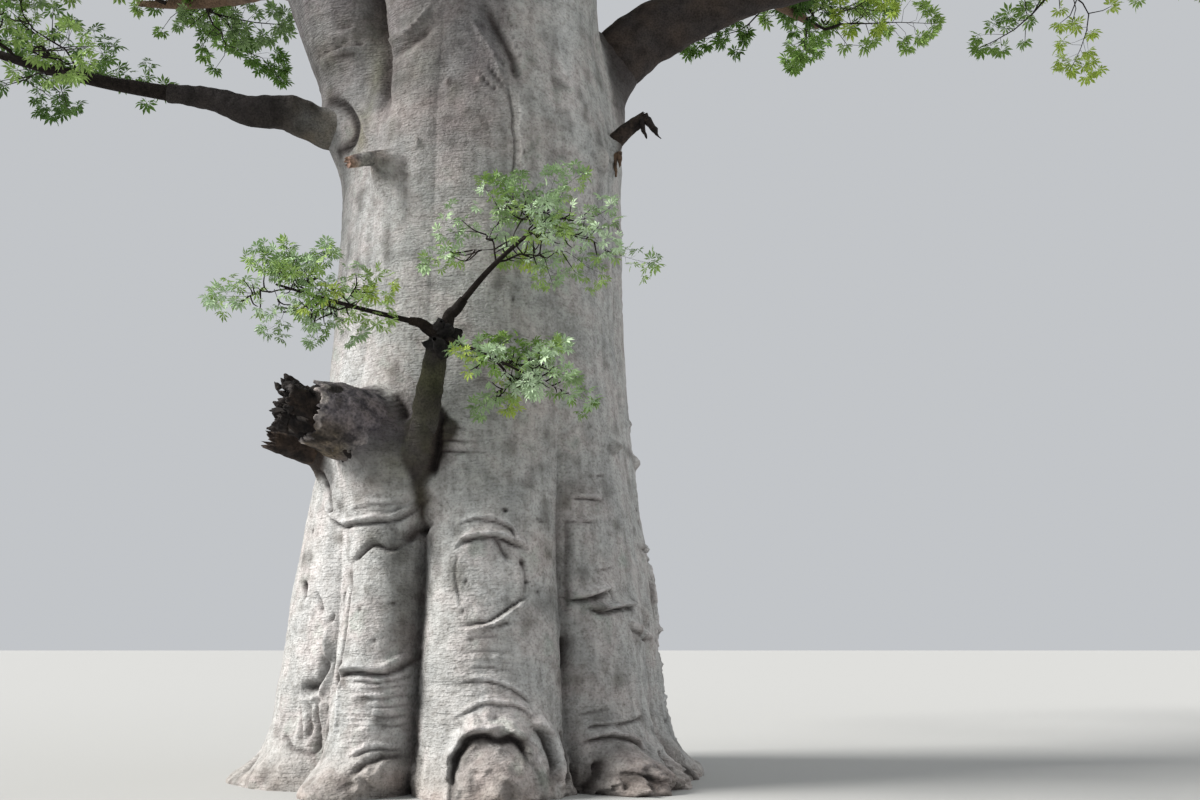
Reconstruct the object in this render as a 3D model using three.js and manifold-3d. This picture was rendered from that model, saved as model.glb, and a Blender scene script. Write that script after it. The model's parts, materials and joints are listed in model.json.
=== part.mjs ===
// A very large baobab in leaf: a swollen trunk of grown-together columns that forks into four heavy limbs,
// with boughs, a broken stump, a low live bough in front and separate masses of foliage.
// Millimetres, +Z up. The flat cut under the trunk is z = 0. -Y is the front and +X the front view's right.
import * as THREE from "three";
import { mergeVertices } from "three/addons/utils/BufferGeometryUtils.js";
import Module from "manifold-3d";

const wasm = await Module();
wasm.setup();
const { Manifold } = wasm;

// Driving dimensions
const TREE_HEIGHT = 20600;
const FORK_HEIGHT = 11200; // top of the trunk, between the four forks
const FORK_BASE_HEIGHT = 10600; // where the forks' centres are measured
const BREAST_RADIUS = 2420;
const WAIST_RADIUS = 1880; // the smooth upper trunk
const FORK_NARROWING = 0.07; // share by which each fork's foot narrows to its limb
const SWELL_MIDDLE = 2900; // height at which the swollen foot gives way to the upper trunk
const SWELL_SPREAD = 1000;
const ROOT_FLARE = 620;
const ROOT_FLARE_HEIGHT = 260;
const TOE_ROUNDING = 100; // the flare's foot meets the ground nearly upright over this height
const CROWN_RADIUS = 11900;
const GAP = 0.45; // between neighbouring solids

// Counts that set how finely the solids are cut
const SAMPLES_PER_COLUMN = 7;
const TRUNK_ROWS = 22;
const TRUNK_ROW_POWER = 1.35; // rows lie closer together near the ground

const FACETS = { fork: 9, bough: 6, small: 5, twig: 3 };
const STEPS = { fork: 7, bough: 6, small: 4, stem: 3 };

// Bearings are in degrees about +Z: 0 faces the front, 90 the right.
const rad = THREE.MathUtils.degToRad;
const at = (bearing, radius, z) =>
  new THREE.Vector3(Math.sin(rad(bearing)) * radius, -Math.cos(rad(bearing)) * radius, z);
const point = (x, y, z) => new THREE.Vector3(x, y, z);

// Grooves between the trunk's columns: where they stand, how deep they are and the height at which they
// close. The foot is how far the column after the groove spreads at the ground, as a share of ROOT_FLARE.
const GROOVES = [
  { bearing: -95, depth: 260, closes: 4200, foot: 0.9 },
  { bearing: -41, depth: 190, closes: 3300, foot: 0.75 },
  { bearing: -13, depth: 500, closes: 4400, foot: 0.7 },
  { bearing: 35, depth: 320, closes: 4600, foot: 0.9 },
  { bearing: 72, depth: 80, closes: 3200, foot: 1.1 },
  { bearing: 118, depth: 330, closes: 4600, foot: 1 },
  { bearing: 162, depth: 280, closes: 4000, foot: 1.15 },
  { bearing: 212, depth: 360, closes: 4800, foot: 1.05 },
];
const OLD_GROOVE = 45; // what is left of a groove above the height at which it closes

// Swellings on the trunk: bearing, height, half width, half height and how far each stands out
const SWELLINGS = [
  { bearing: -27, z: 3700, width: 750, height: 620, rise: 330 }, // under the broken stump and front bough
  { bearing: 12.6, z: 200, width: 420, height: 420, rise: 360 }, // burl at the middle column's foot
  { bearing: 46, z: 150, width: 460, height: 330, rise: 230 }, // burls at the right column's foot
  { bearing: 66, z: 120, width: 340, height: 280, rise: 150 },
  { bearing: -78, z: 30, width: 330, height: 220, rise: 150 }, // root at the left
  { bearing: -34, z: 60, width: 300, height: 240, rise: 200 },
  { bearing: 138, z: 100, width: 520, height: 330, rise: 260 },
  { bearing: 188, z: 80, width: 480, height: 300, rise: 300 },
  { bearing: 238, z: 120, width: 520, height: 320, rise: 240 },
  { bearing: -72, z: 8300, width: 480, height: 480, rise: 230 }, // collar of the left low bough
  { bearing: 104, z: 9100, width: 700, height: 750, rise: 260 }, // collar of the right bough
];

// The four forks: the centre and radius of each at FORK_BASE_HEIGHT, its outward lean (run over rise) and
// the bearing of the foliage mass that it carries
const FORKS = [
  { name: "left_fork", bearing: -80, offset: 2000, radius: 880, lean: 0.4, crown: -80 },
  { name: "front_fork", bearing: -27, offset: 920, radius: 970, lean: 0.12, crown: 10 },
  { name: "right_fork", bearing: 61, offset: 830, radius: 840, lean: 0.1, crown: 95 },
  { name: "back_fork", bearing: 185, offset: 1050, radius: 950, lean: 0.4, crown: 187 },
];

// Repeatable random numbers, so that every run gives the same tree
function seeded(seed) {
  let state = seed >>> 0;
  return () => {
    state = (state + 0x6d2b79f5) >>> 0;
    let t = state;
    t = Math.imul(t ^ (t >>> 15), t | 1);
    t ^= t + Math.imul(t ^ (t >>> 7), t | 61);
    return ((t ^ (t >>> 14)) >>> 0) / 4294967296;
  };
}

const wrapDegrees = (angle) => ((((angle + 180) % 360) + 360) % 360) - 180;

// The trunk's radius without its grooves and root flare: a swollen foot and a straight upper trunk
function barrelRadius(z) {
  const swell = (BREAST_RADIUS - WAIST_RADIUS) * 1.12 / (1 + Math.exp((z - SWELL_MIDDLE) / SWELL_SPREAD));
  const narrowing = 0.12 * Math.max(0, z - 8000) ** 1.04;
  return WAIST_RADIUS + swell - narrowing;
}

// How far out a fork's round limb reaches on a bearing, where its axis runs down into the trunk
function forkReach(fork, bearing, z) {
  const offset = fork.offset + fork.lean * (z - FORK_BASE_HEIGHT);
  const radius = fork.radius * (1 - FORK_NARROWING * THREE.MathUtils.smoothstep(z, 9800, FORK_HEIGHT));
  const turn = rad(wrapDegrees(bearing - fork.bearing));
  const aside = Math.abs(offset * Math.sin(turn));
  const along = offset * Math.cos(turn);
  if (aside < radius) return along + Math.sqrt(radius ** 2 - aside ** 2);
  return along - 1.3 * (aside - radius);
}

function smoothMaximum(values, softness) {
  const highest = Math.max(...values);
  return highest + softness * Math.log(values.reduce((sum, v) => sum + Math.exp((v - highest) / softness), 0));
}

function grooveDepth(groove, z) {
  return OLD_GROOVE + groove.depth * (1 - THREE.MathUtils.smoothstep(z, 0.5 * groove.closes, groove.closes));
}

// The trunk's surface radius at a place across one column, 0 at its left groove and 1 at its right one
function trunkRadius(column, across, z) {
  const left = GROOVES[column];
  const right = GROOVES[(column + 1) % GROOVES.length];
  const width = (right.bearing - left.bearing + 360) % 360;
  const bearing = left.bearing + across * width;
  const crest = Math.sin(Math.PI * across) ** 0.6;
  const depth = THREE.MathUtils.lerp(grooveDepth(left, z), grooveDepth(right, z), across);
  const toe = Math.hypot(z, TOE_ROUNDING);
  const flare = ROOT_FLARE * left.foot * crest * Math.exp(-toe / ROOT_FLARE_HEIGHT);
  const barrel = barrelRadius(z) + flare - depth * (1 - crest);
  const reaches = z > 7000 ? FORKS.map((fork) => forkReach(fork, bearing, z)) : [];
  let radius = reaches.length ? smoothMaximum([barrel, ...reaches], 80) : barrel;
  for (const s of SWELLINGS) {
    const aside = rad(wrapDegrees(bearing - s.bearing)) * BREAST_RADIUS;
    radius += s.rise * Math.exp(-((aside / s.width) ** 2) - ((z - s.z) / s.height) ** 2);
  }
  return { bearing, radius };
}

function solidFrom(positions, index) {
  const geometry = new THREE.BufferGeometry();
  geometry.setAttribute("position", new THREE.Float32BufferAttribute(positions, 3));
  geometry.setIndex(index);
  const merged = mergeVertices(geometry, 1e-3);
  return new Manifold(
    new wasm.Mesh({
      numProp: 3,
      vertProperties: merged.attributes.position.array,
      triVerts: new Uint32Array(merged.index.array),
    }),
  );
}

// A closed skin over rings of points that all have the same count. It closes flat at each end, on an apex at
// the last ring, and round a middle point at the first ring where one is given.
function skin(rings, apex, middle) {
  const count = rings[0].length;
  const points = [...rings.flat(), ...(apex ? [apex] : []), ...(middle ? [middle] : [])];
  const positions = points.flatMap((p) => [p.x, p.y, p.z]);
  const index = [];
  for (let ring = 0; ring + 1 < rings.length; ring++) {
    for (let i = 0; i < count; i++) {
      const next = (i + 1) % count;
      const a = ring * count + i;
      const b = ring * count + next;
      const c = a + count;
      const d = b + count;
      index.push(a, b, d, a, d, c);
    }
  }
  const last = (rings.length - 1) * count;
  for (let i = 1; i + 1 < count && !middle; i++) index.push(0, i + 1, i);
  for (let i = 0; i < count && middle; i++) index.push((i + 1) % count, i, points.length - 1);
  for (let i = 1; i + 1 < count && !apex; i++) index.push(last, last + i, last + i + 1);
  for (let i = 0; i < count && apex; i++) index.push(last + i, last + ((i + 1) % count), last + count);
  return solidFrom(positions, index);
}

// The largest separate body of a solid, without loose scraps
function largestBody(solid) {
  return solid.decompose().sort((a, b) => b.volume() - a.volume())[0];
}

// The trunk, grown outwards by a clearance where it is used to cut its neighbours
function trunkSolid(clearance) {
  const rings = [];
  for (let row = 0; row <= TRUNK_ROWS; row++) {
    const z = FORK_HEIGHT * (row / TRUNK_ROWS) ** TRUNK_ROW_POWER;
    const ring = [];
    for (let column = 0; column < GROOVES.length; column++) {
      for (let i = 0; i < SAMPLES_PER_COLUMN; i++) {
        const { bearing, radius } = trunkRadius(column, i / SAMPLES_PER_COLUMN, z);
        ring.push(at(bearing, radius + clearance, z));
      }
    }
    rings.push(ring);
  }
  // A low dome closes the top between the forks.
  const rim = rings[rings.length - 1];
  const dome = (share, rise) =>
    rim.map((p) => point(p.x * share, p.y * share, FORK_HEIGHT + rise + clearance));
  rings.push(dome(0.75, 170), dome(0.3, 220));
  return skin(rings, point(0, 0, FORK_HEIGHT + 230 + clearance), point(0, 0, 0));
}

// Limbs

// A tapering limb along a quadratic curve, with a collar at its base. Every limb is kept as a list of
// centre points and radii, from which both its solid and the clearance of the foliage are worked out.
function limbLine({ from, lead, to, base, tip, steps, collar = 0, until = 1, wander = 0, seed = 1 }) {
  const curve = new THREE.QuadraticBezierCurve3(from, lead, to);
  const random = seeded(seed);
  const line = [];
  const length = curve.getLength() * until;
  for (let i = 0; i <= steps; i++) {
    const share = i / steps;
    const p = curve.getPoint(share * until);
    const wobble = point(random() - 0.5, random() - 0.5, random() - 0.5);
    const freedom = Math.sin(Math.PI * Math.min(share, 0.95)) * wander;
    p.addScaledVector(wobble, freedom);
    const flare = collar * Math.exp((-share * length) / (0.9 * base));
    line.push({ p, r: tip + (base - tip) * (1 - share) ** 0.85 + base * flare });
  }
  return line;
}

// A round-sided skin along a line of centres and radii. Its first ring may be set square to a given heading.
function tubeSolid(line, sides, clearance = 0, firstHeading = null) {
  const tangents = line.map((_, i) =>
    line[Math.min(i + 1, line.length - 1)].p.clone().sub(line[Math.max(i - 1, 0)].p).normalize(),
  );
  if (firstHeading) tangents[0] = firstHeading.clone();
  const up = Math.abs(tangents[0].z) < 0.9 ? point(0, 0, 1) : point(1, 0, 0);
  let side = up.clone().cross(tangents[0]).normalize();
  const rings = line.map(({ p, r }, i) => {
    side = side.clone().addScaledVector(tangents[i], -side.dot(tangents[i])).normalize();
    const over = tangents[i].clone().cross(side);
    const ends = i === 0 ? -clearance : i === line.length - 1 ? clearance : 0;
    const ring = [];
    for (let k = 0; k < sides; k++) {
      const turn = (2 * Math.PI * k) / sides;
      ring.push(
        p.clone()
          .addScaledVector(tangents[i], ends)
          .addScaledVector(side, Math.cos(turn) * (r + clearance * 1.3))
          .addScaledVector(over, Math.sin(turn) * (r + clearance * 1.3)),
      );
    }
    return ring;
  });
  return skin(rings);
}

const along = (line, share) => {
  const exact = share * (line.length - 1);
  const i = Math.min(Math.floor(exact), line.length - 2);
  return line[i].p.clone().lerp(line[i + 1].p, exact - i);
};
const heading = (line) =>
  line[line.length - 1].p.clone().sub(line[line.length - 2].p).normalize();

// Foliage masses: each is an ellipsoid cut back to the places nearer to its own centre than to any other
const masses = [];
const CELL_MARGIN = 90; // left free on each side between two masses

function addMass(name, centre, size, seed, shape = {}) {
  masses.push({ name, centre, size, seed, primaries: 5, secondaries: 3, ...shape });
  return masses[masses.length - 1];
}

// How far one may go from a mass's centre in a direction before leaving its space
function reachOf(mass, direction) {
  const scaled = point(direction.x / mass.size.x, direction.y / mass.size.y, direction.z / mass.size.z);
  let reach = 1 / scaled.length();
  for (const other of masses) {
    if (other === mass) continue;
    const away = other.centre.clone().sub(mass.centre);
    const distance = away.length();
    away.normalize();
    const facing = away.dot(direction);
    if (facing <= 0) continue;
    const share = mass.size.length() / (mass.size.length() + other.size.length());
    reach = Math.min(reach, Math.max(0, distance * share - CELL_MARGIN) / facing);
  }
  return reach;
}

function isInside(mass, p) {
  const offset = p.clone().sub(mass.centre);
  const distance = offset.length();
  return distance < 1 || distance <= reachOf(mass, offset.divideScalar(distance));
}

const limbs = []; // every limb's name, line, sides and material, in the order in which they are cut

function addLimb(name, settings, sides, material) {
  const line = limbLine(settings);
  limbs.push({ name, line, sides, material });
  return line;
}

// A limb that runs towards a mass's centre and ends where it enters the mass
function addLimbInto(mass, name, settings, sides) {
  const curve = new THREE.QuadraticBezierCurve3(settings.from, settings.lead, mass.centre);
  let until = 1;
  while (until > 0.3 && isInside(mass, curve.getPoint(until - 0.01))) until -= 0.01;
  const line = addLimb(name, { ...settings, to: mass.centre, until: until + 0.02 }, sides, "bark");
  mass.root = line[line.length - 1];
  mass.heading = heading(line);
  return line;
}

// Rings of masses over the crown: how many, how far out, how high and how large
const RINGS = {
  top: { radius: 2900, z: TREE_HEIGHT - 2450, size: point(3050, 3050, 2450) },
  middle: { count: 7, first: 22, radius: 5900, z: 15500, size: point(3150, 3150, 2350) },
  outer: { count: 8, first: 95, radius: CROWN_RADIUS - 2900, z: 12400, size: point(2900, 2900, 2250) },
};
const BACK_RISE = 2000; // the crown's rim hangs lower in front than behind

function crownMasses() {
  FORKS.forEach((fork, i) => {
    const { radius, z, size } = RINGS.top;
    addMass("crown_" + fork.name.replace("_fork", "_top"), at(fork.crown, radius, z), size, 11 + i);
  });
  for (let i = 0; i < RINGS.middle.count; i++) {
    const { count, first, radius, z, size } = RINGS.middle;
    addMass("crown_middle_" + (i + 1), at(first + (360 / count) * i, radius, z), size, 31 + i);
  }
  // The first place of the outer ring is left to the mass at the end of the right bough.
  for (let i = 1; i < RINGS.outer.count; i++) {
    const { count, first, radius, z, size } = RINGS.outer;
    const bearing = first + (360 / count) * i;
    const rise = BACK_RISE * Math.max(0, -Math.cos(rad(bearing)));
    addMass("crown_outer_" + i, at(bearing, radius, z + rise), size, 51 + i);
  }
}

crownMasses();
const fuller = { primaries: 6, secondaries: 3 };
const leftLowMass = addMass("left_low_foliage", point(-6300, -1300, 9000), point(2500, 2300, 1800), 71, fuller);
const rightEndMass = addMass("right_end_foliage", point(8500, -900, 10700), point(2500, 2400, 1900), 72, fuller);
const frontRightSpray = addMass("front_spray_right", point(900, -2950, 6020), point(1650, 720, 880), 2055, fuller);
const frontLeftSpray = addMass("front_spray_left", point(-1700, -2800, 5350), point(1300, 640, 780), 2175, fuller);
const frontLowSpray = addMass("front_spray_low", point(700, -2800, 4440), point(980, 520, 660), 710);

// The four forks rise out of the trunk's top, each to its own top mass.
const forkLines = FORKS.map((fork, i) => {
  const outward = at(fork.bearing, 1, 0);
  const from = at(fork.bearing, fork.offset - fork.lean * 250, FORK_BASE_HEIGHT - 250);
  const lead = from.clone().addScaledVector(outward, 3000 * fork.lean).add(point(0, 0, 3400));
  const settings = { from, lead, base: fork.radius * 0.93, tip: 300, steps: STEPS.fork, wander: 260, seed: 90 + i };
  return addLimbInto(masses[i], fork.name, settings, FACETS.fork);
});

// The fork whose top mass lies nearest to a bearing
function nearestFork(bearing) {
  const turns = FORKS.map((fork) => Math.abs(wrapDegrees(bearing - fork.crown)));
  return turns.indexOf(Math.min(...turns));
}

// Boughs to the middle and outer rings leave the nearest fork, the outer ones lower down.
const CROWN_BOUGHS = {
  outer: { start: 0.24, spread: 0.1, outwards: 3300, upwards: 1500, base: 400, tip: 150 },
  middle: { start: 0.56, spread: 0.1, outwards: 1900, upwards: 800, base: 300, tip: 125 },
};

function crownBough(mass, kind, i) {
  const { start, spread, outwards, upwards, base, tip } = CROWN_BOUGHS[kind];
  const bearing = (Math.atan2(mass.centre.x, -mass.centre.y) * 180) / Math.PI;
  const fork = forkLines[nearestFork(bearing)];
  const from = along(fork, start + (i % 2 ? spread : 0));
  const lead = from.clone().add(at(bearing, outwards, upwards));
  const settings = { from, lead, base, tip, steps: STEPS.bough, collar: 0.5, wander: 320, seed: 200 + i };
  return addLimbInto(mass, mass.name.replace("crown", "bough"), settings, FACETS.bough);
}
masses.filter((m) => m.name.startsWith("crown_outer")).forEach((m, i) => crownBough(m, "outer", i));
masses.filter((m) => m.name.startsWith("crown_middle")).forEach((m, i) => crownBough(m, "middle", 20 + i));

// The left low bough runs out nearly level from the left of the trunk.
addLimbInto(
  leftLowMass,
  "left_low_bough",
  {
    from: point(-1150, -450, 8320),
    lead: point(-3000, -1150, 8400),
    base: 310,
    tip: 110,
    steps: STEPS.bough,
    collar: 0.45,
    wander: 170,
    seed: 301,
  },
  FACETS.bough,
);

// The right bough climbs out of the trunk's right side, and its outer half arches over to the foliage.
const rightBoughTop = point(4700, 150, 11050);
addLimb(
  "right_bough",
  {
    from: point(1000, 500, 8700),
    lead: point(1900, 600, 10750),
    to: rightBoughTop,
    base: 520,
    tip: 310,
    steps: STEPS.bough,
    collar: 0.35,
  },
  FACETS.fork - 1,
  "bark",
);
addLimbInto(
  rightEndMass,
  "right_bough_outer",
  {
    from: rightBoughTop.clone().add(point(GAP, 0, 0)),
    lead: point(6800, -350, 11250),
    base: 305,
    tip: 130,
    steps: STEPS.bough,
    wander: 160,
    seed: 303,
  },
  FACETS.fork - 1,
);

// The front bough stands up from the swelling in front and splits into three small limbs.
const frontFork = point(-190, -2520, 4980);
addLimb(
  "front_bough",
  {
    from: point(-500, -1500, 3250),
    lead: point(-420, -2450, 4050),
    to: frontFork,
    base: 190,
    tip: 118,
    steps: STEPS.bough,
    collar: 0.5,
  },
  FACETS.bough,
  "bark",
);
const SMALL_LIMB = { steps: STEPS.small, wander: 60 };
addLimbInto(
  frontRightSpray,
  "front_limb_right",
  { ...SMALL_LIMB, from: frontFork.clone(), lead: point(100, -2680, 5600), base: 82, tip: 52, seed: 311 },
  FACETS.small,
);
addLimbInto(
  frontLeftSpray,
  "front_limb_left",
  { ...SMALL_LIMB, from: frontFork.clone(), lead: point(-420, -2700, 5200), base: 90, tip: 45, seed: 312 },
  FACETS.small,
);
addLimbInto(
  frontLowSpray,
  "front_limb_low",
  { ...SMALL_LIMB, from: frontFork.clone(), lead: point(60, -2800, 4860), base: 55, tip: 32, seed: 313 },
  FACETS.small,
);

// Dead wood: the thick broken stump, a snag under it and a dead branch high on the right
addLimb(
  "broken_stump",
  {
    from: point(-350, -1150, 3750),
    lead: point(-1000, -1950, 4050),
    to: point(-1990, -2330, 4270),
    base: 500,
    tip: 345,
    steps: STEPS.small,
    collar: 0.2,
  },
  FACETS.fork,
  "dead_wood",
);
addLimb(
  "lower_snag",
  {
    from: point(-1200, -750, 3700),
    lead: point(-1800, -1250, 3860),
    to: point(-2290, -1650, 3970),
    base: 220,
    tip: 125,
    steps: STEPS.small,
  },
  FACETS.small,
  "dead_wood",
);
addLimb(
  "low_stub",
  {
    from: point(-800, -1250, 7620),
    lead: point(-1100, -1750, 7500),
    to: point(-1450, -1950, 7310),
    base: 110,
    tip: 70,
    steps: STEPS.small,
    collar: 0.6,
  },
  FACETS.small,
  "dead_wood",
);
addLimb(
  "dead_branch",
  {
    from: point(1350, -450, 7800),
    lead: point(1850, -600, 8250),
    to: point(2200, -700, 8480),
    base: 140,
    tip: 75,
    steps: STEPS.small,
    collar: 0.5,
  },
  FACETS.small,
  "dead_wood",
);

// Foliage

// Shortest distance between two straight pieces
function pieceDistance(a, b, c, d) {
  const u = b.clone().sub(a);
  const v = d.clone().sub(c);
  const w = a.clone().sub(c);
  const uu = u.dot(u);
  const uv = u.dot(v);
  const vv = v.dot(v);
  const uw = u.dot(w);
  const vw = v.dot(w);
  const clamp = (x) => Math.min(1, Math.max(0, x));
  const cross = uu * vv - uv * uv;
  let s = cross > 1e-9 * uu * vv ? clamp((uv * vw - vv * uw) / cross) : 0;
  const t = clamp((uv * s + vw) / vv);
  s = clamp((uv * t - uw) / uu);
  return a.clone().addScaledVector(u, s).distanceTo(c.clone().addScaledVector(v, t));
}

const LIMB_CLEARANCE = 60;

// Whether a straight piece with a half width stays clear of every limb
function isClearOfLimbs(a, b, halfWidth) {
  return limbs.every(({ line }) =>
    line.slice(1).every((end, i) => {
      const start = line[i];
      const room = pieceDistance(a, b, start.p, end.p) - halfWidth - Math.max(start.r, end.r);
      return room > LIMB_CLEARANCE;
    }),
  );
}

// Evenly spread directions over a sphere
function spreadDirection(i, count, turn) {
  const z = 1 - (2 * i + 1) / count;
  const round = i * Math.PI * (3 - Math.sqrt(5)) + turn;
  const flat = Math.sqrt(1 - z * z);
  return point(Math.cos(round) * flat, Math.sin(round) * flat, z);
}

function sideways(direction, turn) {
  const helper = Math.abs(direction.z) < 0.9 ? point(0, 0, 1) : point(1, 0, 0);
  const a = helper.cross(direction).normalize();
  const b = direction.clone().cross(a);
  return a.multiplyScalar(Math.cos(turn)).addScaledVector(b, Math.sin(turn));
}

// Foliage grows as shoots: a three-sided twig that carries on into one keeled blade, which stands for a spray
const BLADE = { share: 0.6, width: 0.7, widest: 0.5, keel: 0.05, droop: 0.16, thinTwig: 0.55 };

// The blade at the end of a shoot: its two edges, its keel and its tip
function bladeAt(root, direction, facing, length) {
  const across = facing.clone().cross(direction).normalize();
  const normal = direction.clone().cross(across);
  const place = (forward, aside, out) =>
    root.clone()
      .addScaledVector(direction, forward * length)
      .addScaledVector(across, aside * length)
      .addScaledVector(normal, out * length);
  const tip = place(1, 0, 0).add(point(0, 0, -BLADE.droop * length * 0.5));
  return {
    across,
    length,
    tip,
    ring: [
      place(BLADE.widest, BLADE.width / 2, 0),
      place(BLADE.widest, -BLADE.width / 2, 0),
      place(BLADE.widest, 0, -BLADE.keel),
    ],
  };
}

// One closed skin over a shoot's twig and its blade
function shootSolid({ line, blade }) {
  const rings = line.map(({ p, r }, i) => {
    const before = line[Math.max(i - 1, 0)].p;
    const after = line[Math.min(i + 1, line.length - 1)].p;
    const tangent = after.clone().sub(before).normalize();
    const side = blade.across.clone().addScaledVector(tangent, -blade.across.dot(tangent)).normalize();
    const over = tangent.clone().cross(side);
    return [30, 150, 270].map((turn) =>
      p.clone()
        .addScaledVector(side, Math.cos(rad(turn)) * r)
        .addScaledVector(over, Math.sin(rad(turn)) * r),
    );
  });
  rings.push(blade.ring);
  return skin(rings, blade.tip);
}

// The twigs of a mass by one seeded rule: a stem from the bough's tip through the middle, primary shoots to
// evenly spread places and secondary shoots from each of them, all ending at the edge of the space
const TWIG = { stemReach: 0.3, bladeReach: 0.98, branching: 0.75, primaryRadius: 0.5, secondaryRadius: 0.45 };

function growShoots(mass) {
  const random = seeded(mass.seed);
  const meanSize = (mass.size.x + mass.size.y + mass.size.z) / 3;
  const fullLength = BLADE.share * meanSize;
  const root = mass.root.p.clone().addScaledVector(mass.heading, GAP);
  const stemDirection = mass.centre.clone().sub(root).normalize().add(point(0, 0, 0.35)).normalize();
  const stemEnd = mass.centre.clone().addScaledVector(stemDirection, TWIG.stemReach * reachOf(mass, stemDirection));
  const stemLead = root.clone().addScaledVector(mass.heading, 0.45 * root.distanceTo(stemEnd));
  const stemCurve = new THREE.QuadraticBezierCurve3(root, stemLead, stemEnd);
  const stemRadius = mass.root.r * 0.92;
  const stem = [];
  for (let i = 0; i <= STEPS.stem; i++) {
    const share = i / STEPS.stem;
    stem.push({ p: stemCurve.getPoint(share), r: stemRadius * (1 - 0.6 * share) });
  }
  const shoots = [];
  const turn = random() * 2 * Math.PI;
  for (let i = 0; i < mass.primaries; i++) {
    const direction = spreadDirection(i, mass.primaries, turn);
    const share = 0.25 + 0.65 * (0.5 + 0.5 * direction.dot(stemDirection));
    const start = stemCurve.getPoint(share);
    const radius = stemRadius * (TWIG.primaryRadius - 0.15 * share);
    const reach = reachOf(mass, direction);
    const length = Math.min(fullLength, 0.6 * reach);
    const end = mass.centre.clone().addScaledVector(direction, TWIG.bladeReach * reach - length);
    const bend = start.clone().lerp(end, 0.5)
      .addScaledVector(stemDirection, 0.12 * start.distanceTo(end));
    const facing = sideways(direction, random() * 2 * Math.PI);
    shoots.push({
      line: [
        { p: start, r: radius },
        { p: bend, r: radius * 0.75 },
        { p: end, r: radius * 0.4 },
      ],
      blade: bladeAt(end, direction, facing, length),
      parent: -1,
    });
    const parent = shoots.length - 1;
    const spin = random() * 2 * Math.PI;
    for (let k = 0; k < mass.secondaries; k++) {
      const aside = sideways(direction, spin + (2 * Math.PI * k) / mass.secondaries);
      const spread = TWIG.branching * (0.75 + 0.5 * random());
      const outwards = direction.clone().addScaledVector(aside, spread).normalize();
      const room = reachOf(mass, outwards);
      const size = Math.min(fullLength, 0.6 * room) * (0.85 + 0.15 * random());
      const along = (0.2 + 0.7 * k) / mass.secondaries;
      const from = along < 0.5 ? start.clone().lerp(bend, 0.5 + along) : bend.clone().lerp(end, along);
      const tip = mass.centre.clone().addScaledVector(outwards, TWIG.bladeReach * room - size);
      const thickness = radius * TWIG.secondaryRadius;
      shoots.push({
        line: [
          { p: from, r: thickness },
          { p: tip, r: thickness * BLADE.thinTwig },
        ],
        blade: bladeAt(tip, outwards, sideways(outwards, spin + k), size),
        parent,
      });
    }
  }
  return { stem, shoots };
}

// Whether a shoot keeps to its mass's space and touches no limb
function hasRoom(mass, { line, blade }) {
  const corners = [...blade.ring, blade.tip, ...line.slice(1).map(({ p }) => p)];
  if (!corners.every((p) => isInside(mass, p))) return false;
  const neck = line[line.length - 1].p;
  const twigIsClear = line.slice(1).every(({ p }, i) => isClearOfLimbs(line[i].p, p, line[i].r));
  return twigIsClear && isClearOfLimbs(neck, blade.tip, (BLADE.width / 2) * blade.length);
}

function massSolid(mass) {
  const { stem, shoots } = growShoots(mass);
  const kept = shoots.map((shoot) => hasRoom(mass, shoot));
  const pieces = [tubeSolid(stem, FACETS.twig, 0, mass.heading)];
  shoots.forEach((shoot, i) => {
    if (kept[i] && (shoot.parent < 0 || kept[shoot.parent])) pieces.push(shootSolid(shoot));
  });
  return largestBody(Manifold.union(pieces));
}

// Materials and meshes
const MATERIALS = {
  bark: new THREE.MeshStandardMaterial({ color: 0x9a938c, roughness: 0.85, metalness: 0 }),
  dead_wood: new THREE.MeshStandardMaterial({ color: 0x4a4440, roughness: 0.95, metalness: 0 }),
  foliage: new THREE.MeshStandardMaterial({ color: 0x6f9a45, roughness: 0.6, metalness: 0 }),
};

function meshOf(name, solid, material) {
  const { vertProperties, triVerts, numProp } = solid.getMesh();
  const geometry = new THREE.BufferGeometry();
  const positions = new Float32Array((vertProperties.length / numProp) * 3);
  for (let i = 0; i < positions.length / 3; i++) {
    positions.set(vertProperties.subarray(i * numProp, i * numProp + 3), i * 3);
  }
  geometry.setAttribute("position", new THREE.BufferAttribute(positions, 3));
  geometry.setIndex(new THREE.BufferAttribute(triVerts, 1));
  const mesh = new THREE.Mesh(geometry, MATERIALS[material]);
  mesh.name = name;
  return mesh;
}

const tree = new THREE.Group();
tree.add(meshOf("trunk", trunkSolid(0), "bark"));

// Each limb is cut back from the trunk and from the limbs made before it.
let cutters = [trunkSolid(GAP)];
for (const { name, line, sides, material } of limbs) {
  const whole = tubeSolid(line, sides);
  tree.add(meshOf(name, largestBody(whole.subtract(Manifold.union(cutters))), material));
  cutters.push(tubeSolid(line, sides, GAP));
}

for (const mass of masses) tree.add(meshOf(mass.name, massSolid(mass), "foliage"));

export default tree;
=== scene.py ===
"""A very large baobab in leaf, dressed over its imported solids. Metres, +Z up, the front looks along +Y."""

import json
import math

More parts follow.
